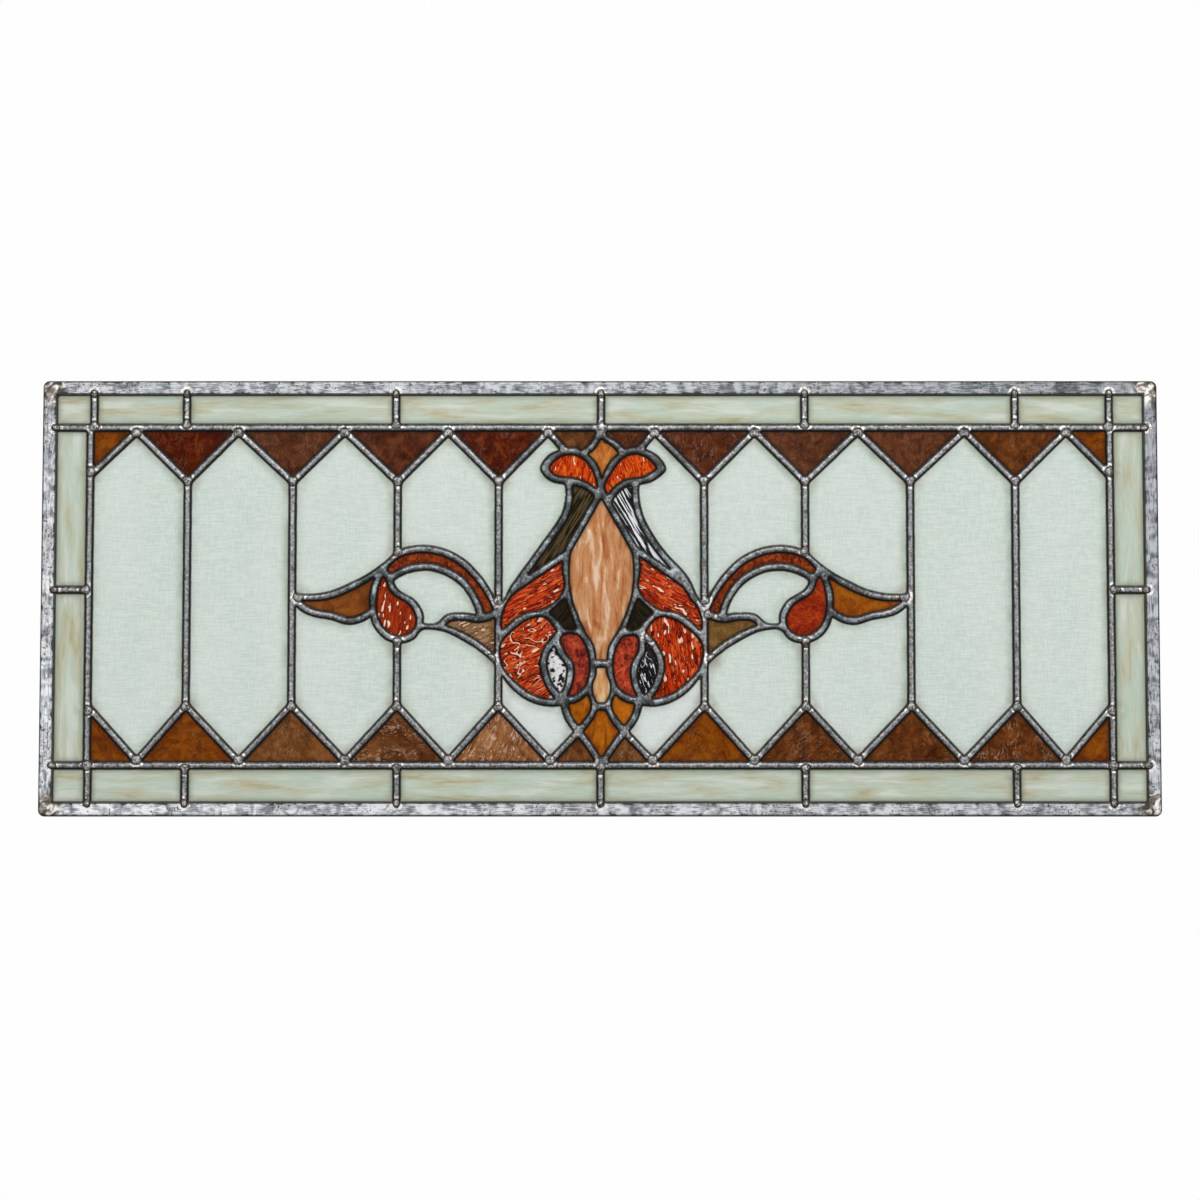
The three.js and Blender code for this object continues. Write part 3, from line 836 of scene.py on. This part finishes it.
AMBER = [(0.09, 0.02, 0.002), (0.19, 0.043, 0.002), (0.28, 0.075, 0.004)]
RED_BROWN = [(0.026, 0.003, 0.0005), (0.08, 0.009, 0.001), (0.17, 0.03, 0.003)]
MAUVE_BROWN = [(0.04, 0.011, 0.005), (0.095, 0.029, 0.011), (0.17, 0.056, 0.022)]
DARK_BROWN = [(0.03, 0.006, 0.002), (0.08, 0.019, 0.006), (0.15, 0.04, 0.013)]
BROWN = [(0.06, 0.018, 0.004), (0.125, 0.04, 0.01), (0.21, 0.075, 0.02)]
RUST = [(0.045, 0.011, 0.002), (0.11, 0.029, 0.005), (0.2, 0.06, 0.012)]
TAN_BROWN = [(0.08, 0.027, 0.006), (0.165, 0.058, 0.015), (0.26, 0.1, 0.03)]
TAN = [(0.12, 0.035, 0.01), (0.25, 0.09, 0.028), (0.38, 0.17, 0.07)]

# from left to right: colours, share of pale wisps, lean of the streaks
TOP_POINTS = [(AMBER, 0.0, 60), (RED_BROWN, 0.1, 20), (MAUVE_BROWN, 0.15, 0), (DARK_BROWN, 0.1, 30),
              (RED_BROWN, 0.15, 0), (BROWN, 0.0, 0), (DARK_BROWN, 0.15, 0), (DARK_BROWN, 0.2, 0),
              (MAUVE_BROWN, 0.1, 60), (MAUVE_BROWN, 0.1, 0), (RUST, 0.1, 10), (AMBER, 0.0, -60)]
BOTTOM_POINTS = [(AMBER, 0.0, 0), (AMBER, 0.1, 90), (TAN_BROWN, 0.2, 0), (BROWN, 0.5, 90),
                 (TAN, 1.0, 20), (BROWN, 0.2, 0), (TAN_BROWN, 0.2, 0), (AMBER, 0.1, 40),
                 (RUST, 0.2, 60), (RUST, 0.15, 90), (RUST, 0.4, 0), (AMBER, 0.0, 0)]
POINT_STEP = 1.8

glass_outlines = [front_loops(n)[0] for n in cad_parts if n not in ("zinc_edge", "lead_lattice")]


def points_of_glass():
    """The triangles that have no CAD node: their sight lines grown back under the lead."""
    found = []
    for line in sight_lines:
        ring = line[::-1]
        centre = ring.mean(0)
        if not any(holds(outline, centre[None])[0] for outline in glass_outlines):
            found.append(ring)
    for row, table in (("top", TOP_POINTS), ("bottom", BOTTOM_POINTS)):
        lines = [r for r in found if (r[:, 1].mean() > lead_middle) == (row == "top")]
        for number, ring in enumerate(sorted(lines, key=lambda r: r[:, 0].mean())):
            colours, wisps, lean = table[number]
            _, _, way = corners_of(ring)
            before = np.roll(way, 1, 0)
            sideways = np.stack([way[:, 1], -way[:, 0]], 1) + np.stack([before[:, 1], -before[:, 0]], 1)
            grow = UNDER_LEAD * 2 / (sideways ** 2).sum(1)
            line = drawn_round(ring + sideways * grow[:, None], POINT_STEP)
            name = f"point_{row}_{number + 1}"
            finish = streaky_finish(f"{name} glass", colours, number * 2 + len(row), lean, wisps)
            relief = Rolled(depth=0.3, wave=9, seed=number + len(row) * 20)
            glass_piece(f"{name}_glass", line, POINT_STEP, relief, finish)


points_of_glass()


# ---------------------------------------------------------------- the motif
# A stylised iris: red petals of heavily rippled glass round a long peach almond, with
# black stems and eyes, and a scroll of leaves and drops on either hand. Each piece is
# ground to the drawing and held in lead that is bent round it.


def rippled_finish(name, colours, seed, lean, pale=(0.9, 0.66, 0.48), ovals=0.64, threads=0.7, veins=0.9,
                   worms=0, fine=1, drawn=1, hairs=0, lines=0.6):
    """Rippled glass: fine streaks with dark veins and bright threads, and pale ovals lying along them.

    A higher value of ovals leaves fewer of them. The shares of threads, veins, worms, hairs and
    lines in the troughs of the relief run from 0 to 1.
    """
    finish = Finish(name, **DEEP)
    streak = finish.cloud(2 * fine, (1, 1, 5 * drawn), turn=lean, detail=4, seed=seed, twist=0.4)
    broad = finish.cloud(9, (1, 1, 2), turn=lean, detail=2, seed=seed + 2)
    value = streak.between(0.33, 0.67) * 0.6 + broad.between(0.34, 0.66) * 0.4
    tint = finish.colours(value, *evenly(colours))
    broken = finish.cloud(4, (1, 1, 2.5), turn=lean, detail=2, seed=seed + 3)
    trough = (1 - finish.measure("crest")).between(0.7, 0.97)
    tint = finish.blend(trough * broken.between(0.42, 0.55) * lines, tint, colours[0])
    vein = finish.cloud(3.2 * fine, (1, 1, 6 * drawn), turn=lean, seed=seed + 4, twist=0.5)
    tint = finish.blend(vein.near(0.485, 0.045) * veins, tint, colours[0])
    tint = finish.blend(vein.near(0.555, 0.02) * threads, tint, colours[-1])
    # the pale ovals and their dark rims: painted highlights of the ripples where the pale colour is light;
    # on the left eye they are black specks
    oval = finish.cloud(3.2 * fine, (1, 1, 3 * drawn), turn=lean, detail=1, seed=seed + 6)
    tint = finish.blend(oval.near(ovals - 0.025, 0.028) * 0.9, tint, colours[0])
    tint = finish.blend(oval.between(ovals, ovals + 0.02), tint, pale)
    # loops of pale and dark: painted reflections of the ripples
    if worms:
        worm = finish.cloud(14 * fine, (1, 1, 1.3 * drawn), turn=lean, detail=0, seed=seed + 8, twist=1.4)
        part = finish.cloud(9, detail=1, seed=seed + 9).between(0.45, 0.49) * worms
        tint = finish.blend(worm.near(0.57, 0.05) * part, tint, colours[0])
        tint = finish.blend(worm.near(0.51, 0.03) * part, tint, pale)
    # fine lengthwise hairs: painted highlights of the ripples, where the pale colour is light
    if hairs:
        hair = finish.cloud(1.7, (1, 1, 16), turn=lean, detail=2, seed=seed + 11, twist=0.1)
        tint = finish.blend(hair.between(0.475, 0.515) * hairs, tint, pale)
    # dirt and painted shade along the lead
    tint = lead_dirt_and_shade(finish, tint, 3.5, 0.6, (0.02, 0.004, 0.002))
    tint = rim_line(finish, tint, 1, (0.01, 0.006, 0.005))
    finish.set(base_color=tint, normal=finish.bump(streak * 0.5 + vein * 0.5, 0.1))
    return finish.material


SCARLET = [(0.06, 0.004, 0.002), (0.27, 0.014, 0.003), (0.53, 0.036, 0.005), (0.66, 0.067, 0.008),
           (0.82, 0.22, 0.06)]
FLAME = [(0.22, 0.008, 0.001), (0.54, 0.035, 0.003), (0.72, 0.08, 0.005), (0.86, 0.24, 0.02)]
OLIVE_BLACK = [(0.004, 0.003, 0.001), (0.013, 0.01, 0.004), (0.036, 0.028, 0.009)]
JET = [(0.003, 0.003, 0.004), (0.012, 0.013, 0.014), (0.045, 0.045, 0.05)]
BRIGHT_RUBY = [(0.08, 0.008, 0.006), (0.35, 0.038, 0.019), (0.65, 0.095, 0.035)]
RUBY = [(0.06, 0.006, 0.006), (0.27, 0.032, 0.018), (0.54, 0.075, 0.03)]
ARC_RED = [(0.06, 0.006, 0.002), (0.21, 0.03, 0.006), (0.42, 0.075, 0.013)]
PEACH = [(0.31, 0.08, 0.022), (0.49, 0.19, 0.07), (0.58, 0.3, 0.14), (0.82, 0.6, 0.44)]
PALE_PEACH = [(0.46, 0.17, 0.06), (0.62, 0.32, 0.13), (0.72, 0.46, 0.24), (0.88, 0.7, 0.5)]
BRIGHT_HONEY = [(0.28, 0.07, 0.004), (0.46, 0.125, 0.006), (0.6, 0.2, 0.012)]
HONEY = [(0.19, 0.043, 0.002), (0.34, 0.085, 0.004), (0.48, 0.15, 0.008)]
LEAF_BROWN = [(0.10, 0.027, 0.006), (0.2, 0.054, 0.01), (0.3, 0.09, 0.015)]
LEAF_AMBER = [(0.17, 0.036, 0.003), (0.28, 0.068, 0.004), (0.38, 0.12, 0.008)]
DROP_RED = [(0.12, 0.007, 0.003), (0.29, 0.024, 0.005), (0.46, 0.066, 0.01)]
MILK = [(0.25, 0.25, 0.25), (0.66, 0.65, 0.64), (0.8, 0.79, 0.78), (0.88, 0.87, 0.86)]
PALE_UMBER = [(0.12, 0.05, 0.018), (0.26, 0.135, 0.055), (0.48, 0.31, 0.19)]
UMBER = [(0.09, 0.038, 0.01), (0.17, 0.085, 0.022), (0.27, 0.15, 0.05)]
KITE_ORANGE = [(0.3, 0.07, 0.01), (0.5, 0.15, 0.025), (0.68, 0.3, 0.08)]
# SILVER is the colour of the painted highlights and reflections on the black glass
SILVER = (0.78, 0.8, 0.82)
SOOT = (0.015, 0.015, 0.016)
DULL_OLIVE = (0.17, 0.12, 0.05)
FINE_STEP = 0.85
PLAIN_STEP = 2.0
RIPPLE_DEPTH = 0.22


class Rippled(Rolled):
    """Heavily rippled glass: waves that run one way, bent and broken here and there."""

    def __init__(self, wave, seed, long, lean, swirl):
        super().__init__(RIPPLE_DEPTH, wave, seed, long)
        self.cos, self.sin = math.cos(math.radians(lean)), math.sin(math.radians(lean))
        self.swirl = swirl

    def height(self, x, z, seed):
        u, v = x * self.cos - z * self.sin, x * self.sin + z * self.cos
        shift = noise.noise((u / (4 * self.wave), v / (4 * self.long * self.wave), seed))
        shift += 0.45 * noise.noise((u / (1.3 * self.wave), v / (self.long * self.wave), seed + 5))
        shift += self.swirl * noise.noise((u / (1.6 * self.wave), v / (1.6 * self.wave), seed + 9))
        return 0.5 + 0.5 * math.sin(2 * math.pi * (u / self.wave + shift))


def rippled(node, colours, seed, slot, lean, wave=3.2, long=3, swirl=0, **looks):
    finish = rippled_finish(f"{node} glass", colours, seed, lean, **looks)
    node_pane(node, FINE_STEP, Rippled(wave, seed * 1.3, long, lean, swirl), finish)


def smooth(node, colours, seed, slot, **looks):
    finish = streaky_finish(f"{node} glass", colours, seed, **looks)
    node_pane(node, PLAIN_STEP, Rolled(depth=0.3, wave=10, seed=seed * 1.7), finish)


rippled("head_left", FLAME, 1, "scarlet_glass", 6, wave=2.8, ovals=0.7, lines=0.9)
rippled("head_right", FLAME, 2, "scarlet_glass", -18, wave=2.8, ovals=0.69, lines=0.9)
rippled("upper_petal_left", SCARLET, 3, "scarlet_glass", 64, ovals=0.68)
rippled("upper_petal_right", SCARLET, 4, "scarlet_glass", 118, ovals=0.67)
rippled("round_petal_left", SCARLET, 5, "scarlet_glass", 62, long=1.5, swirl=0.5, worms=1, ovals=0.66,
        pale=(0.9, 0.58, 0.42))
rippled("round_petal_right", SCARLET, 6, "scarlet_glass", 172, ovals=0.66, pale=(0.9, 0.6, 0.45))
rippled("stem_left", OLIVE_BLACK, 7, "black_glass", 30, ovals=0.9, veins=0.3, hairs=0.4, pale=DULL_OLIVE)
rippled("stem_right", JET, 8, "black_glass", 149, long=6, ovals=0.9, veins=0.3, hairs=1, pale=SILVER)
rippled("eye_left", MILK, 9, "black_glass", -30, drawn=0.3, fine=1.3, ovals=0.6, veins=0.3, lines=0.2,
        pale=SOOT)
rippled("eye_right", JET, 10, "black_glass", 165, drawn=1.4, fine=0.55, worms=1, ovals=0.62, pale=SILVER)
rippled("wedge_left", OLIVE_BLACK, 11, "black_glass", 40, ovals=0.9, veins=0.3, threads=0.2)
rippled("wedge_right", OLIVE_BLACK, 12, "black_glass", -40, ovals=0.9, veins=0.3, threads=0.2)
rippled("drop_left", DROP_RED, 13, "scarlet_glass", 8, wave=6, long=4, ovals=0.65, veins=0.4, lines=0.2)
rippled("small_leaf_left", PALE_UMBER, 14, "tan_glass", 70, fine=0.75, ovals=0.63, lines=0.3,
        pale=(0.7, 0.52, 0.38))

smooth("drop_right", DROP_RED, 15, "scarlet_glass", lean=-70)
smooth("kidney_left", RUBY, 16, "ruby_glass", size=7, fibres=0.7)
smooth("kidney_right", BRIGHT_RUBY, 17, "ruby_glass", size=7, fibres=0.7)
smooth("arc_left", ARC_RED, 18, "ruby_glass", size=6, fibres=0.7)
smooth("arc_right", ARC_RED, 19, "ruby_glass", size=6, fibres=0.7)
smooth("almond", PEACH, 20, "peach_glass", size=7, stretch=(1, 1, 5), fibres=0.12)
smooth("tail", PALE_PEACH, 21, "peach_glass", size=6, stretch=(1, 1, 4), fibres=0.12)
smooth("kite", KITE_ORANGE, 22, "amber_glass", lean=8, size=6, stretch=(1, 1, 3))
smooth("base_diamond", HONEY, 23, "amber_glass", lean=8, size=8, stretch=(1, 1, 3))
smooth("small_amber_left", HONEY, 24, "amber_glass")
smooth("small_amber_right", BRIGHT_HONEY, 25, "amber_glass")
smooth("leaf_left", LEAF_BROWN, 26, "amber_glass", size=18)
smooth("leaf_right", LEAF_AMBER, 27, "amber_glass", size=14)
smooth("small_leaf_right", UMBER, 28, "tan_glass", size=20)


# ---------------------------------------------------------------- lead came and solder
# Round lead came, H in section, grips every pane. The lengths are soldered where they
# meet, on both faces, and their ends are lapped on to the zinc and tacked with solder.

LEAF_EDGE = 1.62  # how far the edge of a lead leaf stands from the middle plane
CROWN = 1.95  # how far its rounded back rises above that
LEAD_ROWS = (0.35, 0.9, 1.7, 2.6, 3.45)  # rows of points across half of its back
BED_GAP = 0.05  # between the glass and the underside of a leaf
STUB_RISE = 1.9  # how much higher the stubs lie, on top of the zinc
LUMP = 3.3  # radius of the blob of solder in the middle of a joint
GROOVE = 4.6  # round it the solder has pulled back from the lead
TINNED = 6.6  # and the end of each length is tinned bright here


def lead_finish():
    finish = Finish("lead", specular_ior_level=0.25)
    edge, joint, heavy = (finish.measure(m) for m in ("edge", "joint", "heavy"))
    grain = finish.cloud(2.6, detail=4, seed=1)
    broad = finish.cloud(12, seed=2)
    facing = finish.node("ShaderNodeNewGeometry", out="Normal")
    upward = finish.node("ShaderNodeSeparateXYZ", (), {0: facing}, out="Z").between(0.15, 0.85)
    height = finish.node("ShaderNodeSeparateXYZ", (), {0: finish.place}, out="Z")
    tint = finish.colours(grain, (0.34, (0.07, 0.067, 0.065)), (0.5, (0.175, 0.169, 0.165)),
                          (0.66, (0.34, 0.33, 0.322)))
    tint = finish.blend(broad.between(0.4, 0.62) * 0.5, tint, (0.13, 0.15, 0.165))
    motif = heavy.fading(0.4, 0.85)
    tint = finish.blend(motif * 0.92, tint, finish.colours(
        broad * 0.65 + grain * 0.35, (0.4, (0.015, 0.018, 0.019)), (0.47, (0.042, 0.051, 0.055)),
        (0.53, (0.085, 0.1, 0.107)), (0.61, (0.27, 0.295, 0.3))))
    tint = finish.blend(motif * height.between(280, 320) * 0.65, tint, (0.035, 0.035, 0.033))
    # the crown is worn brighter than the sides, and lead that faces up is painted lighter: a painted
    # highlight of the light from above
    wear_and_highlight = edge.between(0.9, 2.5).peak(upward * 0.75)
    tint = finish.blend(1, finish.blend(wear_and_highlight, (0.35, 0.35, 0.35), (1.3, 1.3, 1.3)), tint, "MULTIPLY")
    swirl = finish.cloud(1.7, detail=2, seed=6, twist=1.2)
    lump = joint.fading(LUMP - 0.6, LUMP + 0.7) * heavy
    tint = finish.blend(lump * 0.85, tint, finish.colours(
        swirl, (0.4, (0.03, 0.027, 0.023)), (0.5, (0.2, 0.196, 0.19)), (0.6, (0.5, 0.485, 0.46))))
    tinned = joint.near(TINNED, 1.5).between(0, 0.7) * edge.between(1.2, 2.4) * heavy.between(0.5, 0.9)
    tint = finish.blend(tinned * grain.between(0.4, 0.58) * 0.7, tint, (0.95, 0.9, 0.85))
    groove = joint.near(GROOVE, 1.1) * swirl.between(0.3, 0.5) * heavy
    stain = finish.cloud(6, detail=4, seed=11).between(0.58, 0.66) * 0.7
    tint = finish.blend(stain, tint, (0.045, 0.032, 0.022))
    # dirt and painted shade darken the edges of the lead, less where it faces up to the light; dirt also
    # darkens the groove round each joint
    dirt_and_shade = (edge.fading(0.7, 1.8) * (1 - 0.7 * upward)).peak(groove * 0.9)
    tint = finish.blend(dirt_and_shade, tint, (0.01, 0.008, 0.006))
    finish.set(base_color=tint, metallic=0.85 - 0.7 * dirt_and_shade, roughness=0.34 + 0.2 * grain + 0.3 * dirt_and_shade)
    finish.set(normal=finish.bump(grain * 0.6 + swirl * lump * 0.8, 0.25))
    return finish.material


def lap(x, z):
    """0 over the glass and 1 where a stub of lead lies on the zinc."""
    past = max(abs(x) - lead_reach, z - lead_top, lead_bottom - z)
    t = min(1.0, max(0.0, (past + 2.5) / 3.5))
    return t * t * (3 - 2 * t)


def hump(distance, middle, width):
    return math.exp(-((distance - middle) / width) ** 2)


def lead_height(x, z, seed):
    """How far the lead stands from the middle plane, and what its finish goes by.

    That is its distance from an edge and from a joint, and how heavy the solder is.
    """
    distance = lead_edge.find((x, z, 0))[2]
    around = joint_finder.find_n((x, z, 0), 6)
    away = around[0][2]
    pulls = [1 / (d * d + 1) for _, _, d in around]
    heavy = sum(joint_weights[i] * pull for (_, i, _), pull in zip(around, pulls)) / sum(pulls)
    t = min(distance / CAME_HALF, 1.0)
    over = lap(x, z)
    height = LEAF_EDGE + STUB_RISE * over + (CROWN - 0.7 * over) * math.sqrt(1 - (1 - t) ** 2)
    solder = 0.7 * hump(away, 0, LUMP) - 0.4 * hump(away, GROOVE, 1.0) + 0.35 * hump(away, TINNED, 1.2)
    height += min(1.0, distance / 1.2) * (
        solder * heavy ** 1.5 * (0.75 + 0.8 * wander(x, z, 2.6, seed + 4))
        + 0.1 * wander(x, z, 5, seed) + 0.07 * wander(x, z, 1.6, seed + 2))
    return height, distance, away, heavy


lead = lead_finish()
lead_rows = []
for line in lead_lines:
    inward = -outward(line)
    for row in LEAD_ROWS:
        spots = line + inward * row
        lead_rows += [(x, z) for x, z in spots if lead_edge.find((x, z, 0))[2] > CLEAR_OF_LEAD * row]
lead_rows = thinned(lead_rows, 0.58)
lead_spots, lead_triangles = flat_net(lead_lines, lead_rows)
bed_spots, bed_triangles = flat_net(lead_lines, [])

for side, label in ((-1, "front"), (1, "back")):
    heights, edges, joints, weights = zip(*(lead_height(x, z, 10 + side) for x, z in lead_spots))
    skin = [(x, side * h, z) for (x, z), h in zip(lead_spots, heights)]
    bed = [(x, side * (GLASS_HALF + BED_GAP + (STUB_RISE + BED_GAP) * lap(x, z)), z)
           for x, z in bed_spots]
    first = len(skin)
    turned = 1 if side < 0 else -1
    faces = [t[::turned] for t in lead_triangles]
    faces += [tuple(first + i for i in t)[::-turned] for t in bed_triangles]
    start = 0
    for line in lead_lines:
        ring = range(start, start + len(line))
        for i in ring:
            j = start + (i + 1 - start) % len(line)
            faces.append((i, first + i, first + j, j)[::turned])
        start += len(line)
    piece = new_piece(f"lead_came_{label}", skin + bed, faces, [lead],
                      {"edge": list(edges) + [0.0] * len(bed), "joint": list(joints) + [20.0] * len(bed),
                       "heavy": list(weights) + [0.5] * len(bed)})
    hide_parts("lead_lattice")


# ---------------------------------------------------------------- zinc edge
# One strip of U-section zinc came is folded round the panel and soldered across its
# corners. It has gone dull, with dark pits, and brown flux stains round the solder.

ZINC_STEP = 2.4
FOLD_RADIUS = 6.0  # of the panel's outer corners
ZINC_DEEP = 3.5
ZINC_FOLD = 2.2  # radius of the fold between face and edge
ZINC_LEAF = 1.2  # thickness of its metal on the faces
ZINC_WEB = 2.2  # and at the outer edge
MITRE_LONG = 11  # how far in from the edges the cut of a corner is soldered
MITRE_REACH = 1.4  # distances across that cut count for this much less


def zinc_finish():
    """Dull zinc: brushed along its length, pitted black, tinned white round each tack of solder."""
    finish = Finish("zinc")
    edge, along, tack, mitre = (finish.measure(m) for m in ("edge", "along", "tack", "mitre"))
    course = finish.node("ShaderNodeCombineXYZ", (), {"X": along / 9, "Y": edge})
    brushed = finish.node("ShaderNodeTexNoise", (), {"Vector": course, "Scale": 0.9, "Detail": 5})
    mottle = finish.cloud(11, detail=5, seed=1, twist=0.8)
    fine = finish.cloud(2.4, detail=4, seed=2)
    tint = finish.colours(brushed * 0.5 + mottle * 0.5, (0.41, (0.17, 0.18, 0.19)),
                          (0.48, (0.42, 0.44, 0.46)), (0.56, (0.8, 0.81, 0.82)))
    x, z = (finish.node("ShaderNodeSeparateXYZ", (), {0: finish.place}, out=axis) for axis in "XZ")
    # painted shade: the zinc is darker towards the right and towards the top
    shade_to_top_right = x.between(-500, 480) * 0.45 + z.between(0, 400) * 0.48
    tint = finish.blend(1, finish.blend(shade_to_top_right, (1, 1, 1), (0.31, 0.32, 0.34)), tint, "MULTIPLY")
    patch = finish.cloud(38, seed=5)
    pits = fine.between(0.57, 0.64) * patch.between(0.46, 0.58)
    rare = finish.cloud(3.5, detail=1, seed=9).between(0.7, 0.74)
    tint = finish.blend(pits.peak(rare) * 0.9, tint, (0.03, 0.027, 0.024))
    stain = patch.between(0.56, 0.7) * mottle.between(0.45, 0.6)
    tint = finish.blend(stain * 0.5, tint, (0.2, 0.15, 0.12))
    ring = tack.near(4.9, 1.4).between(0, 0.6) * fine.between(0.4, 0.56)
    tint = finish.blend(ring, tint, (0.8, 0.76, 0.71))
    swirl = finish.cloud(7, (1, 1, 1.4), turn=45, detail=4, seed=7, twist=1)
    tint = finish.blend(mitre.fading(10, 20) * 0.95, tint, finish.colours(
        swirl, (0.41, (0.02, 0.016, 0.012)), (0.47, (0.13, 0.085, 0.055)), (0.53, (0.34, 0.32, 0.29)),
        (0.6, (0.8, 0.77, 0.73))))
    ragged = (edge + (mottle - 0.5) * 8).fading(1, 2)
    # dirt along the edges of the face, and painted shade along the bottom, where the fold faces down
    dirt_and_shade = z.fading(0.9, 2.4).peak(edge.fading(1.3, 2.2)).peak(ragged)
    tint = finish.blend(dirt_and_shade * 0.95, tint, (0.02, 0.017, 0.014))
    finish.set(base_color=tint, metallic=0.3 - 0.3 * dirt_and_shade, roughness=0.36 + 0.2 * fine + 0.3 * dirt_and_shade)
    finish.set(normal=finish.bump(fine * 0.4 + brushed * 0.6 - pits * 0.5, 0.22))
    return finish.material


def zinc_section():
    """Half of the U section, from the lip to the fold: how far in, and how far from the middle."""
    fold = [(ZINC_FOLD * (1 - math.sin(a)), ZINC_DEEP - ZINC_FOLD * (1 - math.cos(a)))
            for a in np.linspace(0, math.pi / 2, 6)]
    lip = [(ZINC_FACE, ZINC_DEEP - ZINC_LEAF), (ZINC_FACE, ZINC_DEEP - 0.7),
           (ZINC_FACE - 0.2, ZINC_DEEP - 0.2)]
    flat = [(d, ZINC_DEEP) for d in (*np.linspace(ZINC_FACE - 0.9, 3.4, 8), 2.6)]
    return lip + flat + fold


def way_round(half, height):
    """Places along the outer edge: the corner it belongs to, its angle, and how far past the corner."""
    way = []
    for quarter, corner in enumerate(((1, 1), (-1, 1), (-1, -1), (1, -1))):
        start = math.pi / 2 * quarter
        way += [(corner, start + math.pi / 14 * k, 0.0) for k in range(8)]
        span = (height if quarter % 2 else 2 * half) - 2 * ZINC_FACE
        count = int(span / ZINC_STEP)
        way += [(corner, start + math.pi / 2, ZINC_FACE + k * span / count) for k in range(count + 1)]
    return way


def zinc_edge():
    half, height = zinc_right, zinc_high
    front = zinc_section()
    section = [(d, -y) for d, y in front] + [(d, y) for d, y in reversed(front)]
    section += [(ZINC_WEB, ZINC_DEEP - ZINC_LEAF), (ZINC_WEB, ZINC_LEAF - ZINC_DEEP)]
    tacks = finder(stub_centres)
    points, measures = [], {"edge": [], "along": [], "tack": [], "mitre": []}
    travelled, last = 0.0, None
    for corner, angle, past in way_round(half, height):
        cos, sin = math.cos(angle), math.sin(angle)
        for inset, y in section:
            radius = max(FOLD_RADIUS, inset)
            out = max(FOLD_RADIUS - inset, 0)
            x = corner[0] * (half - radius) + out * cos
            z = height / 2 + corner[1] * (height / 2 - radius) + out * sin
            if past:
                x, z = x - sin * (past - radius), z + cos * (past - radius)
            if (inset, y) == section[0]:
                travelled += math.dist((x, z), last) if last else 0
                last = (x, z)
            from_side, from_end = half - abs(x), height / 2 - abs(z - height / 2)
            off_cut = abs(abs(from_side) - abs(from_end)) / MITRE_REACH
            mitre = math.hypot(off_cut, max(0, max(from_side, from_end) - MITRE_LONG))
            rise = 0.1 * wander(x, z, 22, 3) + 0.05 * wander(x, z, 5, 5)
            rise += 0.7 * hump(mitre, 0, 3.2) * (0.6 + wander(x, z, 3.5, 8))
            face = abs(y) > ZINC_DEEP - 0.01
            points.append((x, y + math.copysign(rise, y) if face else y, z))
            measures["edge"].append(min(inset + 0.4, ZINC_FACE - inset) if abs(y) > 1.5 else 0.1)
            measures["along"].append(travelled)
            measures["tack"].append(tacks.find((x, z, 0))[2])
            measures["mitre"].append(mitre)
    count, total = len(section), len(points)
    faces = [(i * count + j, i * count + (j + 1) % count, ((i + 1) * count + (j + 1) % count) % total,
              ((i + 1) * count + j) % total) for i in range(total // count) for j in range(count)]
    piece = new_piece("zinc_edge_came", points, faces, [zinc_finish()], measures)
    shell = bmesh.new()
    shell.from_mesh(piece.data)
    bmesh.ops.remove_doubles(shell, verts=shell.verts, dist=0.00002)
    bmesh.ops.recalc_face_normals(shell, faces=shell.faces)
    shell.to_mesh(piece.data)
    shell.free()
    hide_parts("zinc_edge")


zinc_edge()
